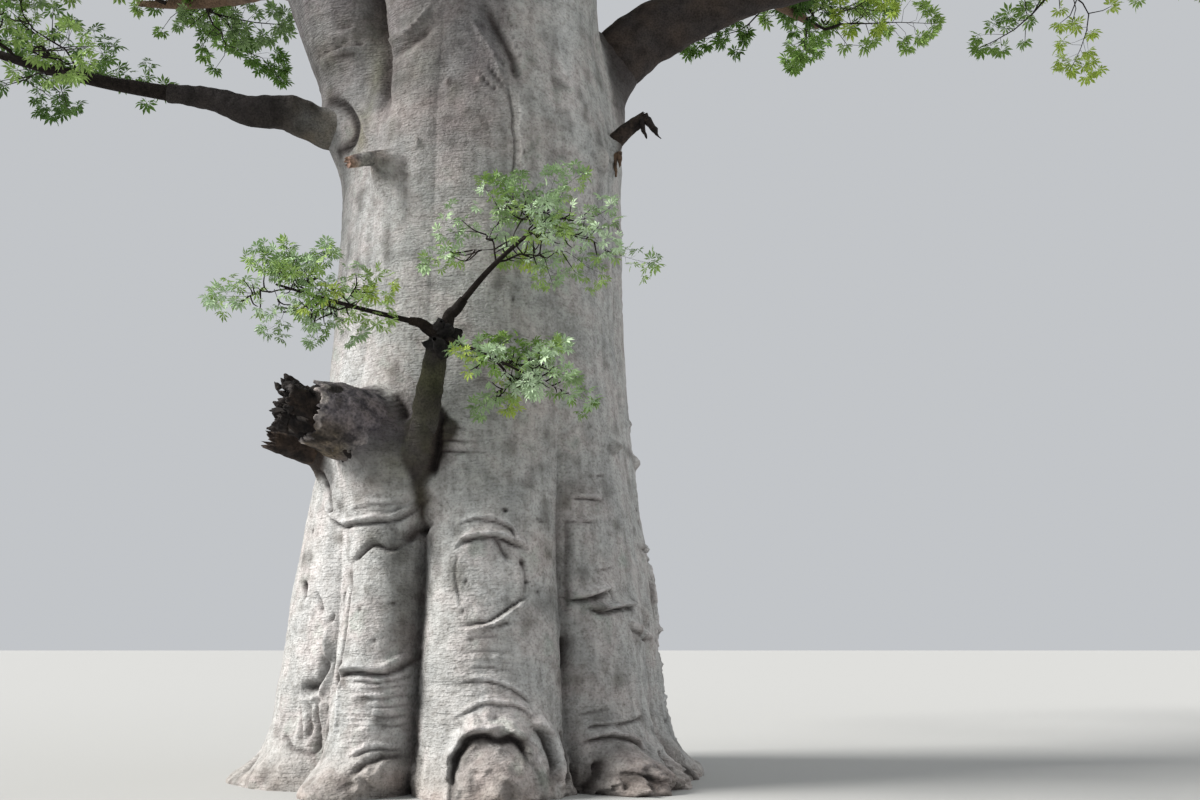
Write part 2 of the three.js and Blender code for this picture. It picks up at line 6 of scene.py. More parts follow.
import bpy
import numpy as np
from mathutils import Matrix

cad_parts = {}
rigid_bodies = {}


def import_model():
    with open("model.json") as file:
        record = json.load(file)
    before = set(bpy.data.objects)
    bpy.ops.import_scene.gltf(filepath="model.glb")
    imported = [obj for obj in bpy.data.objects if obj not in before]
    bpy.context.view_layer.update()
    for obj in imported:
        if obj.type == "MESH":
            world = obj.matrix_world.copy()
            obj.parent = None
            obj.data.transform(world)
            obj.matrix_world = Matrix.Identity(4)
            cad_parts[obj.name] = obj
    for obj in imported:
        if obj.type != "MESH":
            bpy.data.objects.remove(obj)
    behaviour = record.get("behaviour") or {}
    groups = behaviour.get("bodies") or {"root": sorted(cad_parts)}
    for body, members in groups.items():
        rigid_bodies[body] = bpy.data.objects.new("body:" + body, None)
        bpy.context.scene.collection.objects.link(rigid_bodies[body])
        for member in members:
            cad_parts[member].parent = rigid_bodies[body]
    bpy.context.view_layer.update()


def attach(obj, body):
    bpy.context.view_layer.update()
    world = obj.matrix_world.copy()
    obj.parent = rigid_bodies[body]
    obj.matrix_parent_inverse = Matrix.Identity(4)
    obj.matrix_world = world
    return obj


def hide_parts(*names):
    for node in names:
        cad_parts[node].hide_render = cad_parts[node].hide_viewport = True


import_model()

# Camera and the reference view

VIEW_WIDTH, VIEW_HEIGHT = 1200, 800
CAMERA_PLACE = (1.6, -15.6, 1.6)
CAMERA_PITCH = math.radians(11.5)
FOCAL_PIXELS = 1200.0
SENSOR_WIDTH = 36.0


def add_camera():
    data = bpy.data.cameras.new("Camera")
    data.sensor_width = SENSOR_WIDTH
    data.lens = SENSOR_WIDTH * FOCAL_PIXELS / VIEW_WIDTH
    data.clip_end = 500.0
    camera = bpy.data.objects.new("Camera", data)
    camera.location = CAMERA_PLACE
    camera.rotation_euler = (math.pi / 2 + CAMERA_PITCH, 0.0, 0.0)
    bpy.context.scene.collection.objects.link(camera)
    bpy.context.scene.camera = camera


def seen_at(u, v, y):
    """The place (x, z) at depth y that shows at column u and row v of the reference view."""
    up = VIEW_HEIGHT / 2 - v
    forward = FOCAL_PIXELS * math.cos(CAMERA_PITCH) - up * math.sin(CAMERA_PITCH)
    rise = FOCAL_PIXELS * math.sin(CAMERA_PITCH) + up * math.cos(CAMERA_PITCH)
    depth = y - CAMERA_PLACE[1]
    x = CAMERA_PLACE[0] + (u - VIEW_WIDTH / 2) * depth / forward
    return x, CAMERA_PLACE[2] + depth * rise / forward


# Driving sizes, the same as the solids'

TREE_HEIGHT = 20.6
FORK_HEIGHT = 11.2
FORK_BASE_HEIGHT = 10.6
BREAST_RADIUS = 2.42
WAIST_RADIUS = 1.88
FORK_NARROWING = 0.07
SWELL_MIDDLE = 2.9
SWELL_SPREAD = 1.0
ROOT_FLARE = 0.62
ROOT_FLARE_HEIGHT = 0.26
TOE_ROUNDING = 0.10
CROWN_RADIUS = 11.9
GAP = 0.00045
OLD_GROOVE = 0.045
STEPS = {"fork": 7, "bough": 6, "small": 4, "stem": 3}  # pieces in the line of each kind of limb

# bearing, depth, height at which it closes, spread of the next column's foot
GROOVES = [
    (-95, 0.26, 4.2, 0.9),
    (-41, 0.19, 3.3, 0.75),
    (-13, 0.50, 4.4, 0.7),
    (35, 0.32, 4.6, 0.9),
    (72, 0.08, 3.2, 1.1),
    (118, 0.33, 4.6, 1.0),
    (162, 0.28, 4.0, 1.15),
    (212, 0.36, 4.8, 1.05),
]

# bearing, height, half width, half height, rise
SWELLINGS = [
    (-27, 3.7, 0.75, 0.62, 0.33),
    (12.6, 0.2, 0.42, 0.42, 0.36),
    (46, 0.15, 0.46, 0.33, 0.23),
    (66, 0.12, 0.34, 0.28, 0.15),
    (-78, 0.03, 0.33, 0.22, 0.15),
    (-34, 0.06, 0.30, 0.24, 0.20),
    (138, 0.10, 0.52, 0.33, 0.26),
    (188, 0.08, 0.48, 0.30, 0.30),
    (238, 0.12, 0.52, 0.32, 0.24),
    (-72, 8.3, 0.48, 0.48, 0.23),
    (104, 9.1, 0.70, 0.75, 0.26),
]

# name, bearing, offset, radius, lean, bearing of its crown mass
FORKS = [
    ("left_fork", -80, 2.00, 0.88, 0.40, -80),
    ("front_fork", -27, 0.92, 0.97, 0.12, 10),
    ("right_fork", 61, 0.83, 0.84, 0.10, 95),
    ("back_fork", 185, 1.05, 0.95, 0.40, 187),
]


# Small tools


def vec(x, y, z):
    return np.array([x, y, z], float)


def unit(v):
    return v / np.linalg.norm(v)


def stand(bearing, radius, z):
    turn = math.radians(bearing)
    return vec(math.sin(turn) * radius, -math.cos(turn) * radius, z)


def around_axis(bearing, radius, z):
    turn = np.radians(bearing)
    return np.stack([np.sin(turn) * radius, -np.cos(turn) * radius, z], 1)


def wrap_degrees(angle):
    return (angle + 180.0) % 360.0 - 180.0


def smooth_step(x, low, high):
    t = clamp((x - low) / (high - low))
    return t * t * (3.0 - 2.0 * t)

def clamp(x):
    return np.clip(x, 0.0, 1.0)


def bell(x, power=2):
    """1 in the middle, and falling off smoothly on both sides of it."""
    return np.exp(-(x**power))
def multiply32(a, b):
    return (a * b) & 0xFFFFFFFF


def seeded(seed):
    """The same repeatable random numbers as the solids' source uses."""
    state = [seed & 0xFFFFFFFF]

    def draw():
        state[0] = (state[0] + 0x6D2B79F5) & 0xFFFFFFFF
        t = state[0]
        t = multiply32(t ^ (t >> 15), t | 1)
        t ^= (t + multiply32(t ^ (t >> 7), t | 61)) & 0xFFFFFFFF
        return ((t ^ (t >> 14)) & 0xFFFFFFFF) / 4294967296

    return draw


def lattice(ix, iy, iz, seed):
    n = (ix * 374761393 + iy * 668265263 + iz * 1442695041 + seed * 974711 + 1013904223) & 0xFFFFFFFF
    n = ((n ^ (n >> 13)) * 1274126177) & 0xFFFFFFFF
    return ((n ^ (n >> 16)) & 0xFFFF) / 32767.5 - 1.0


def noise(places, size, seed):
    """Smooth noise from -1 to 1 whose lumps are about one size across. size may be one number or three."""
    q = places / np.asarray(size, float)
    cell = np.floor(q).astype(np.int64)
    f = q - cell
    f = f * f * (3.0 - 2.0 * f)
    total = np.zeros(len(q))
    for dx in (0, 1):
        for dy in (0, 1):
            for dz in (0, 1):
                weight = (
                    (f[:, 0] if dx else 1 - f[:, 0])
                    * (f[:, 1] if dy else 1 - f[:, 1])
                    * (f[:, 2] if dz else 1 - f[:, 2])
                )
                total += weight * lattice(cell[:, 0] + dx, cell[:, 1] + dy, cell[:, 2] + dz, seed)
    return total


def rough_noise(places, size, seed, octaves=3):
    total = np.zeros(len(places))
    for k in range(octaves):
        total += noise(places, np.asarray(size, float) / 2**k, seed + 17 * k) / 2**k
    return total / 1.6


# The trunk's form, as in the solids


def barrel_radius(z):
    swell = (BREAST_RADIUS - WAIST_RADIUS) * 1.12 / (1 + np.exp((z - SWELL_MIDDLE) / SWELL_SPREAD))
    narrowing = 0.12 * 1000**0.04 * np.maximum(0.0, z - 8.0) ** 1.04
    return WAIST_RADIUS + swell - narrowing


def fork_reach(fork, bearing, z):
    _, stands_at, offset, radius, lean, _ = fork
    offset = offset + lean * (z - FORK_BASE_HEIGHT)
    turn = np.radians(wrap_degrees(bearing - stands_at))
    aside = np.abs(offset * np.sin(turn))
    ahead = offset * np.cos(turn)
    radius = radius * (1.0 - FORK_NARROWING * smooth_step(z, 9.8, FORK_HEIGHT))
    inside = ahead + np.sqrt(np.maximum(0.0, radius**2 - aside**2))
    outside = ahead - 1.3 * (aside - radius)
    return np.where(aside < radius, inside, outside)


def groove_depth(groove, z):
    _, depth, closes, _ = groove
    return OLD_GROOVE + depth * (1 - smooth_step(z, 0.5 * closes, closes))


# Bearing, offset, height and radius of balls along the foot of each limb that the bark swells round
collar_balls = {}
COLLAR_BLEND = (0.30, 0.09)  # under a limb the bark fills out softly, over it the crotch is tighter
COLLAR_MARGIN = 0.5
COLLAR_HALF_ANGLE = 60
FORKS_FROM = 7.0  # below this height the forks don't shape the trunk
FORK_BLEND = 0.08
NOWHERE = -9.0  # a reach that never counts


def with_collars(radius, bearing, z, only=None):
    """The bark runs out along the foot of each limb that leaves the trunk."""
    radius = radius.copy()
    for name, balls in collar_balls.items():
        if only and name != only:
            continue
        low = min(h - r for _, _, h, r in balls) - COLLAR_MARGIN
        high = max(h + r for _, _, h, r in balls) + COLLAR_MARGIN
        centre = balls[len(balls) // 2][0]
        beside = np.abs(wrap_degrees(bearing - centre)) < COLLAR_HALF_ANGLE
        found = np.nonzero((z > low) & (z < high) & beside)[0]
        if not len(found):
            continue
        best = np.full(len(found), NOWHERE)
        above = np.zeros(len(found))
        for stands_at, offset, height, size in balls:
            turn = np.radians(wrap_degrees(bearing[found] - stands_at))
            aside = np.hypot(offset * np.sin(turn), z[found] - height)
            ahead = offset * np.cos(turn)
            inside = ahead + np.sqrt(np.maximum(0.0, size**2 - aside**2))
            slope = 1.2 + 1.5 * smooth_step((z[found] - height) / size, 0.1, 0.7)
            outside = ahead - slope * (aside - size)
            reach = np.where(aside < size, inside, outside)
            above = np.where(reach > best, (z[found] - height) / size, above)
            best = np.maximum(best, reach)
        mine = radius[found]
        blend = COLLAR_BLEND[0] + (COLLAR_BLEND[1] - COLLAR_BLEND[0]) * smooth_step(above, -0.3, 0.7)
        overlap = np.maximum(blend - np.abs(mine - best), 0.0) / blend
        radius[found] = np.maximum(mine, best) + overlap**2 * blend / 4
    return radius


def trunk_radius(bearing, z):
    """The trunk's surface radius on bearings at heights, both arrays of one shape, collars included."""
    return with_collars(bare_radius(bearing, z), bearing, z)


def bare_radius(bearing, z):
    """The trunk's radius without collars: its columns, grooves, root flare, forks and swellings."""
    bearing = (bearing + 95.0) % 360.0 - 95.0
    radius = np.zeros_like(z)
    for i, left in enumerate(GROOVES):
        right = GROOVES[(i + 1) % len(GROOVES)]
        width = (right[0] - left[0]) % 360
        across = (bearing - left[0]) / width
        mine = (across >= 0) & (across < 1)
        share = clamp(across)
        crest = np.sin(math.pi * share) ** 0.6
        depth = groove_depth(left, z) * (1 - share) + groove_depth(right, z) * share
        toe = np.sqrt(z**2 + TOE_ROUNDING**2)
        foot = ROOT_FLARE * left[3] * crest * np.exp(-toe / ROOT_FLARE_HEIGHT)
        radius = np.where(mine, barrel_radius(z) + foot - depth * (1 - crest), radius)
    forked = z > FORKS_FROM
    reaches = [radius] + [np.where(forked, fork_reach(fork, bearing, z), NOWHERE) for fork in FORKS]
    highest = np.maximum.reduce(reaches)
    blended = highest + FORK_BLEND * np.log(sum(np.exp((r - highest) / FORK_BLEND) for r in reaches))
    radius = np.where(forked, blended, radius)
    for stands_at, height, half_width, half_height, rise in SWELLINGS:
        aside = np.radians(wrap_degrees(bearing - stands_at)) * BREAST_RADIUS
        radius = radius + rise * np.exp(-((aside / half_width) ** 2) - ((z - height) / half_height) ** 2)
    return radius


# Limbs and masses by the source's rule


def bezier(a, b, c, t):
    return (1 - t) ** 2 * a + 2 * (1 - t) * t * b + t * t * c


def bezier_length(a, b, c):
    walk = np.array([bezier(a, b, c, i / 200) for i in range(201)])
    return float(np.linalg.norm(np.diff(walk, axis=0), axis=1).sum())


def limb_line(start, lead, to, base, tip, steps=STEPS["bough"], collar=0.0, until=1.0, wander=0.0, seed=1):
    random = seeded(seed)
    length = bezier_length(start, lead, to) * until
    points, radii = [], []
    for i in range(steps + 1):
        share = i / steps
        p = bezier(start, lead, to, share * until)
        wobble = vec(random() - 0.5, random() - 0.5, random() - 0.5)
        p = p + wobble * math.sin(math.pi * min(share, 0.95)) * wander
        flare = collar * math.exp((-share * length) / (0.9 * base))
        points.append(p)
        radii.append(tip + (base - tip) * (1 - share) ** 0.85 + base * flare)
    return np.array(points), np.array(radii)


masses = []
limbs = {}
CELL_MARGIN = 0.09


def add_mass(name, centre, size, seed, primaries=5, secondaries=3):
    masses.append(
        {"name": name, "centre": centre, "size": size, "seed": seed, "counts": (primaries, secondaries)}
    )
    return masses[-1]


def reach_of(mass, direction):
    reach = 1 / np.linalg.norm(direction / mass["size"])
    mine = np.linalg.norm(mass["size"])
    for other in masses:
        if other is mass:
            continue
        away = other["centre"] - mass["centre"]
        distance = np.linalg.norm(away)
        facing = float(away @ direction) / distance
        if facing <= 0:
            continue
        share = mine / (mine + np.linalg.norm(other["size"]))
        reach = min(reach, max(0.0, distance * share - CELL_MARGIN) / facing)
    return reach


def is_inside(mass, p):
    offset = p - mass["centre"]
    distance = float(np.linalg.norm(offset))
    return distance < 0.001 or distance <= reach_of(mass, offset / distance)


def add_limb(name, *shape, **settings):
    limbs[name] = limb_line(*shape, **settings)
    return limbs[name]


def heading(line):
    return unit(line[0][-1] - line[0][-2])


def add_limb_into(mass, name, start, lead, base, tip, **settings):
    """A limb that runs towards a mass's centre and ends where it enters the mass's space."""
    until = 1.0
    while until > 0.3 and is_inside(mass, bezier(start, lead, mass["centre"], until - 0.01)):
        until -= 0.01
    line = add_limb(name, start, lead, mass["centre"], base, tip, until=until + 0.02, **settings)
    mass["root"], mass["root_radius"], mass["heading"] = line[0][-1], line[1][-1], heading(line)
    return line


BACK_RISE = 2.0  # how much higher the outer masses stand at the back
# places round each ring of masses, bearing of the first one, distance from the axis, height, half sizes
RINGS = {
    "top": (len(FORKS), None, 2.9, TREE_HEIGHT - 2.45, vec(3.05, 3.05, 2.45)),
    "middle": (7, 22, 5.9, 15.5, vec(3.15, 3.15, 2.35)),
    "outer": (8, 95, CROWN_RADIUS - 2.9, 12.4, vec(2.9, 2.9, 2.25)),
}


def crown_masses():
    _, _, radius, z, size = RINGS["top"]
    for i, fork in enumerate(FORKS):
        add_mass("crown_" + fork[0].replace("_fork", "_top"), stand(fork[5], radius, z), size, 11 + i)
    count, first, radius, z, size = RINGS["middle"]
    for i in range(count):
        add_mass(f"crown_middle_{i + 1}", stand(first + (360 / count) * i, radius, z), size, 31 + i)
    count, first, radius, z, size = RINGS["outer"]
    for i in range(1, count):
        bearing = first + (360 / count) * i
        rise = BACK_RISE * max(0.0, -math.cos(math.radians(bearing)))
        add_mass(f"crown_outer_{i}", stand(bearing, radius, z + rise), size, 51 + i)


crown_masses()
left_low_mass = add_mass("left_low_foliage", vec(-6.3, -1.3, 9.0), vec(2.5, 2.3, 1.8), 71, 6)
right_end_mass = add_mass("right_end_foliage", vec(8.5, -0.9, 10.7), vec(2.5, 2.4, 1.9), 72, 6)
front_right_spray = add_mass("front_spray_right", vec(0.9, -2.95, 6.02), vec(1.65, 0.72, 0.88), 2055, 6)
front_left_spray = add_mass("front_spray_left", vec(-1.7, -2.8, 5.35), vec(1.3, 0.64, 0.78), 2175, 6)
front_low_spray = add_mass("front_spray_low", vec(0.70, -2.80, 4.44), vec(0.98, 0.52, 0.66), 710)

fork_lines = []
for index, (fork_name, fork_bearing, fork_offset, fork_radius, fork_lean, _) in enumerate(FORKS):
    fork_start = stand(fork_bearing, fork_offset - fork_lean * 0.25, FORK_BASE_HEIGHT - 0.25)
    fork_lead = fork_start + stand(fork_bearing, 1, 0) * 3.0 * fork_lean + vec(0, 0, 3.4)
    fork_shape = (fork_start, fork_lead, fork_radius * 0.93, 0.3)
    fork_settings = {"steps": STEPS["fork"], "wander": 0.26, "seed": 90 + index}
    fork_lines.append(add_limb_into(masses[index], fork_name, *fork_shape, **fork_settings))


def point_along(line, share):
    exact = share * (len(line[0]) - 1)
    i = min(int(exact), len(line[0]) - 2)
    return line[0][i] + (line[0][i + 1] - line[0][i]) * (exact - i)


# share of the fork at which a bough leaves it, more for every second one, way out and up to its lead, radii
CROWN_BOUGHS = {
    "outer": (0.24, 0.1, 3.3, 1.5, 0.40, 0.15),
    "middle": (0.56, 0.1, 1.9, 0.8, 0.30, 0.125),
}


def crown_bough(mass, kind, i):
    share, spread, outwards, upwards, base, tip = CROWN_BOUGHS[kind]
    bearing = math.degrees(math.atan2(mass["centre"][0], -mass["centre"][1]))
    turns = [abs(wrap_degrees(bearing - fork[5])) for fork in FORKS]
    start = point_along(fork_lines[turns.index(min(turns))], share + (spread if i % 2 else 0.0))
    lead = start + stand(bearing, outwards, upwards)
    name = mass["name"].replace("crown", "bough")
    add_limb_into(mass, name, start, lead, base, tip, collar=0.5, wander=0.32, seed=200 + i)


for index, crown_mass in enumerate([m for m in masses if m["name"].startswith("crown_outer")]):
    crown_bough(crown_mass, "outer", index)
for index, crown_mass in enumerate([m for m in masses if m["name"].startswith("crown_middle")]):
    crown_bough(crown_mass, "middle", 20 + index)

add_limb_into(
    left_low_mass, "left_low_bough", vec(-1.15, -0.45, 8.32), vec(-3.0, -1.15, 8.40), 0.31, 0.11,
    collar=0.45, wander=0.17, seed=301,
)
right_bough_top = vec(4.7, 0.15, 11.05)
add_limb("right_bough", vec(1.0, 0.5, 8.7), vec(1.9, 0.6, 10.75), right_bough_top, 0.52, 0.31, collar=0.35)
add_limb_into(
    right_end_mass, "right_bough_outer", right_bough_top + vec(GAP, 0, 0), vec(6.8, -0.35, 11.25),
    0.305, 0.13, wander=0.16, seed=303,
)
front_fork_place = vec(-0.19, -2.52, 4.98)
add_limb(
    "front_bough", vec(-0.5, -1.5, 3.25), vec(-0.42, -2.45, 4.05), front_fork_place, 0.190, 0.118, collar=0.5
)
for front_mass, front_name, front_lead, front_base, front_tip, front_seed in (
    (front_right_spray, "front_limb_right", vec(0.10, -2.68, 5.60), 0.082, 0.052, 311),
    (front_left_spray, "front_limb_left", vec(-0.42, -2.7, 5.2), 0.09, 0.045, 312),
    (front_low_spray, "front_limb_low", vec(0.06, -2.80, 4.86), 0.055, 0.032, 313),
):
    add_limb_into(
        front_mass, front_name, front_fork_place, front_lead, front_base, front_tip,
        steps=STEPS["small"], wander=0.06, seed=front_seed,
    )

# Dead wood: start, lead, end, radius at the start and at the end, flare of the foot
DEAD_LIMBS = {
    "broken_stump": (vec(-0.35, -1.15, 3.75), vec(-1, -1.95, 4.05), vec(-1.99, -2.33, 4.27), 0.5, 0.345, 0.2),
    "lower_snag": (vec(-1.2, -0.75, 3.70), vec(-1.8, -1.25, 3.86), vec(-2.29, -1.65, 3.97), 0.22, 0.125, 0.0),
    "low_stub": (vec(-0.80, -1.25, 7.62), vec(-1.10, -1.75, 7.50), vec(-1.45, -1.95, 7.31), 0.11, 0.07, 0.6),
    "dead_branch": (vec(1.35, -0.45, 7.8), vec(1.85, -0.6, 8.25), vec(2.2, -0.7, 8.48), 0.14, 0.075, 0.5),
}
for dead_name, (*dead_shape, dead_collar) in DEAD_LIMBS.items():
    add_limb(dead_name, *dead_shape, steps=STEPS["small"], collar=dead_collar)

# How far along each limb the trunk's bark follows it, and how much wider than the limb it is at the foot
# and where it ends
COLLARS = {
    "broken_stump": (0.60, 1.02, 0.98),
    "lower_snag": (0.60, 1.25, 0.9),
    "front_bough": (0.50, 1.30, 1.02),
    "left_low_bough": (0.20, 0.80, 0.80),
    "right_bough": (0.30, 1.12, 0.95),
    "low_stub": (0.60, 1.45, 0.9),
    "dead_branch": (0.45, 1.5, 0.9),
}

for collar_name, (collar_until, collar_swell, collar_end) in COLLARS.items():
    collar_points, collar_radii = limbs[collar_name]
    collar_share = np.linspace(0, 1, len(collar_points))
    balls = []
    for t in np.linspace(0.0, collar_until, 22):
        spot = np.array([np.interp(t, collar_share, collar_points[:, k]) for k in range(3)])
        swell = collar_swell + (collar_end - collar_swell) * t / collar_until
        size = float(np.interp(t, collar_share, collar_radii)) * swell
        ball_bearing = math.degrees(math.atan2(spot[0], -spot[1]))
        balls.append((ball_bearing, math.hypot(spot[0], spot[1]), spot[2], size))
    collar_balls[collar_name] = balls

# Clearance of the foliage from the limbs

limb_starts = np.concatenate([line[0][:-1] for line in limbs.values()])
limb_ends = np.concatenate([line[0][1:] for line in limbs.values()])
limb_radii = np.concatenate([np.maximum(line[1][:-1], line[1][1:]) for line in limbs.values()])
LIMB_CLEARANCE = 0.06


def is_clear_of_limbs(a, b, half_width):
    u = b - a
    v = limb_ends - limb_starts
    w = a - limb_starts
    uu = u @ u
    uv = v @ u
    vv = (v * v).sum(1)
    uw = w @ u
    vw = (v * w).sum(1)
    cross = uu * vv - uv * uv
    s = np.where(cross > 1e-9 * uu * vv, clamp((uv * vw - vv * uw) / np.maximum(cross, 1e-12)), 0)
    t = clamp((uv * s + vw) / vv)
    s = clamp((uv * t - uw) / uu)
    gaps = np.linalg.norm((a + s[:, None] * u) - (limb_starts + t[:, None] * v), axis=1)
    return bool(np.all(gaps - half_width - limb_radii > LIMB_CLEARANCE))


def spread_direction(i, count, turn):
    z = 1 - (2 * i + 1) / count
    around = i * math.pi * (3 - math.sqrt(5)) + turn
    flat = math.sqrt(1 - z * z)
    return vec(math.cos(around) * flat, math.sin(around) * flat, z)


def sideways(direction, turn):
    helper = vec(0, 0, 1) if abs(direction[2]) < 0.9 else vec(1, 0, 0)
    a = unit(np.cross(helper, direction))
    b = np.cross(direction, a)
    return a * math.cos(turn) + b * math.sin(turn)


BLADE = {"share": 0.6, "width": 0.7, "widest": 0.5, "keel": 0.05, "droop": 0.16, "thin_twig": 0.55}
TWIG = {"stem_reach": 0.3, "blade_reach": 0.98, "branching": 0.75, "primary": 0.5, "secondary": 0.45}


def blade_at(root, direction, facing, length):
    across = unit(np.cross(facing, direction))
    normal = np.cross(direction, across)

    def spot(forward, aside, out):
        return root + (direction * forward + across * aside + normal * out) * length

    tip = spot(1, 0, 0) + vec(0, 0, -BLADE["droop"] * length * 0.5)
    ring = [
        spot(BLADE["widest"], BLADE["width"] / 2, 0),
        spot(BLADE["widest"], -BLADE["width"] / 2, 0),
        spot(BLADE["widest"], 0, -BLADE["keel"]),
    ]
    return {"root": root, "direction": direction, "across": across, "normal": normal, "length": length,
            "tip": tip, "ring": ring}


def grow_shoots(mass):
    random = seeded(mass["seed"])
    centre, size = mass["centre"], mass["size"]
    full_length = BLADE["share"] * size.mean()
    root = mass["root"] + mass["heading"] * GAP
    stem_direction = unit(unit(centre - root) + vec(0, 0, 0.35))
    stem_end = centre + stem_direction * TWIG["stem_reach"] * reach_of(mass, stem_direction)
    stem_lead = root + mass["heading"] * 0.45 * np.linalg.norm(root - stem_end)
    stem_radius = mass["root_radius"] * 0.92
    shares = np.arange(STEPS["stem"] + 1) / STEPS["stem"]
    stem = (
        np.array([bezier(root, stem_lead, stem_end, s) for s in shares]),
        stem_radius * (1 - 0.6 * shares),
    )
    shoots = []
    turn = random() * 2 * math.pi
    primaries, secondaries = mass["counts"]
    for i in range(primaries):
        direction = spread_direction(i, primaries, turn)
        share = 0.25 + 0.65 * (0.5 + 0.5 * float(direction @ stem_direction))
        start = bezier(root, stem_lead, stem_end, share)
        radius = stem_radius * (TWIG["primary"] - 0.15 * share)
        reach = reach_of(mass, direction)
        length = min(full_length, 0.6 * reach)
        end = centre + direction * (TWIG["blade_reach"] * reach - length)
        bend = (start + end) / 2 + stem_direction * 0.12 * np.linalg.norm(start - end)
        facing = sideways(direction, random() * 2 * math.pi)
        shoots.append(
            {
                "points": np.array([start, bend, end]),
                "radii": np.array([radius, radius * 0.75, radius * 0.4]),
                "blade": blade_at(end, direction, facing, length),
                "parent": -1,
            }
        )
        parent = len(shoots) - 1
        spin = random() * 2 * math.pi
        for k in range(secondaries):
            aside = sideways(direction, spin + (2 * math.pi * k) / secondaries)
            spread = TWIG["branching"] * (0.75 + 0.5 * random())
            outwards = unit(direction + aside * spread)
            room = reach_of(mass, outwards)
            blade_length = min(full_length, 0.6 * room) * (0.85 + 0.15 * random())
            along = (0.2 + 0.7 * k) / secondaries
            if along < 0.5:
                origin = start + (bend - start) * (0.5 + along)
            else:
                origin = bend + (end - bend) * along
            tip = centre + outwards * (TWIG["blade_reach"] * room - blade_length)
            thickness = radius * TWIG["secondary"]
            shoots.append(
                {
                    "points": np.array([origin, tip]),
                    "radii": np.array([thickness, thickness * BLADE["thin_twig"]]),
                    "blade": blade_at(tip, outwards, sideways(outwards, spin + k), blade_length),
                    "parent": parent,
                }
            )
    return stem, shoots


def has_room(mass, shoot):
    blade, points, radii = shoot["blade"], shoot["points"], shoot["radii"]
    corners = [*blade["ring"], blade["tip"], *points[1:]]
    if not all(is_inside(mass, p) for p in corners):
        return False
    for i in range(1, len(points)):
        if not is_clear_of_limbs(points[i - 1], points[i], radii[i - 1]):
            return False
    return is_clear_of_limbs(points[-1], blade["tip"], BLADE["width"] / 2 * blade["length"])


def kept_shoots(mass):
    stem, shoots = grow_shoots(mass)
    kept = [has_room(mass, shoot) for shoot in shoots]
    chosen = [s for i, s in enumerate(shoots) if kept[i] and (s["parent"] < 0 or kept[s["parent"]])]
    return stem, chosen


# Meshes in bulk


class Pile:
    """Gathers vertices, faces and vertex colours, and makes them into one mesh object."""

    def __init__(self):
        self.places, self.quads, self.triangles, self.tints = [], [], [], []
        self.count = 0

    def add(self, places, quads=None, triangles=None, tint=(1.0, 1.0, 1.0)):
        places = np.asarray(places, float)
        if quads is not None and len(quads):
            self.quads.append(np.asarray(quads, np.int64) + self.count)
        if triangles is not None and len(triangles):
            self.triangles.append(np.asarray(triangles, np.int64) + self.count)
        colours = np.ones((len(places), 4))
        colours[:, :3] = tint
        self.places.append(places)
        self.tints.append(colours)
        self.count += len(places)

    def build(self, name, material, smooth=True, normals=None):
        places = np.concatenate(self.places)
        quads = np.concatenate(self.quads) if self.quads else np.zeros((0, 4), np.int64)
        triangles = np.concatenate(self.triangles) if self.triangles else np.zeros((0, 3), np.int64)
        mesh = bpy.data.meshes.new(name)
        mesh.vertices.add(len(places))
        mesh.vertices.foreach_set("co", places.astype(np.float32).ravel())
        corners = np.concatenate([quads.ravel(), triangles.ravel()])
        sizes = np.concatenate([np.full(len(quads), 4), np.full(len(triangles), 3)])
        starts = np.concatenate([[0], np.cumsum(sizes)[:-1]]).astype(np.int32)
        mesh.loops.add(len(corners))
        mesh.loops.foreach_set("vertex_index", corners.astype(np.int32))
        mesh.polygons.add(len(sizes))
        mesh.polygons.foreach_set("loop_start", starts)
        mesh.update(calc_edges=True)
        mesh.polygons.foreach_set("use_smooth", np.full(len(sizes), smooth))
        tint = mesh.color_attributes.new("tint", "FLOAT_COLOR", "POINT")
        tint.data.foreach_set("color", np.concatenate(self.tints).astype(np.float32).ravel())
        if normals is not None:
            mesh.normals_split_custom_set_from_vertices(normals)
        mesh.materials.append(material)
        made = bpy.data.objects.new(name, mesh)
        bpy.context.scene.collection.objects.link(made)
        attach(made, "root")
        return made


def refine(points, radii, per_piece):
    """A smooth curve through the given points, with per_piece rings for each of its pieces."""
    padded = np.concatenate([[2 * points[0] - points[1]], points, [2 * points[-1] - points[-2]]])
    places, sizes = [], []
    for i in range(len(points) - 1):
        a, b, c, d = padded[i : i + 4]
        for k in range(per_piece):
            t = k / per_piece
            square, cube = 2 * a - 5 * b + 4 * c - d, 3 * b - a - 3 * c + d
            places.append(0.5 * (2 * b + (c - a) * t + square * t**2 + cube * t**3))
            sizes.append(radii[i] + (radii[i + 1] - radii[i]) * t)
    places.append(points[-1])
    sizes.append(radii[-1])
    return np.array(places), np.array(sizes)


def ring_frames(points):
    """Two directions square to a line at each of its points, without a twist between them."""
    tangents = np.gradient(points, axis=0)
    tangents /= np.linalg.norm(tangents, axis=1)[:, None]
    side = np.cross(vec(0, 0, 1) if abs(tangents[0][2]) < 0.9 else vec(1, 0, 0), tangents[0])
    sides, overs = [], []
    for tangent in tangents:
        side = unit(side - tangent * (side @ tangent))
        sides.append(side)
        overs.append(np.cross(tangent, side))
    return np.array(sides), np.array(overs)


def ring_turns(sides):
    return np.arange(sides) * 2 * math.pi / sides


def tube_grid(points, radii, sides):
    """Places of a tube's rings as an array (rings, sides, 3), with the outward direction of each."""
    side, over = ring_frames(points)
    turns = ring_turns(sides)[None, :, None]
    outward = side[:, None, :] * np.cos(turns) + over[:, None, :] * np.sin(turns)
    return points[:, None, :] + outward * radii[:, None, None], outward


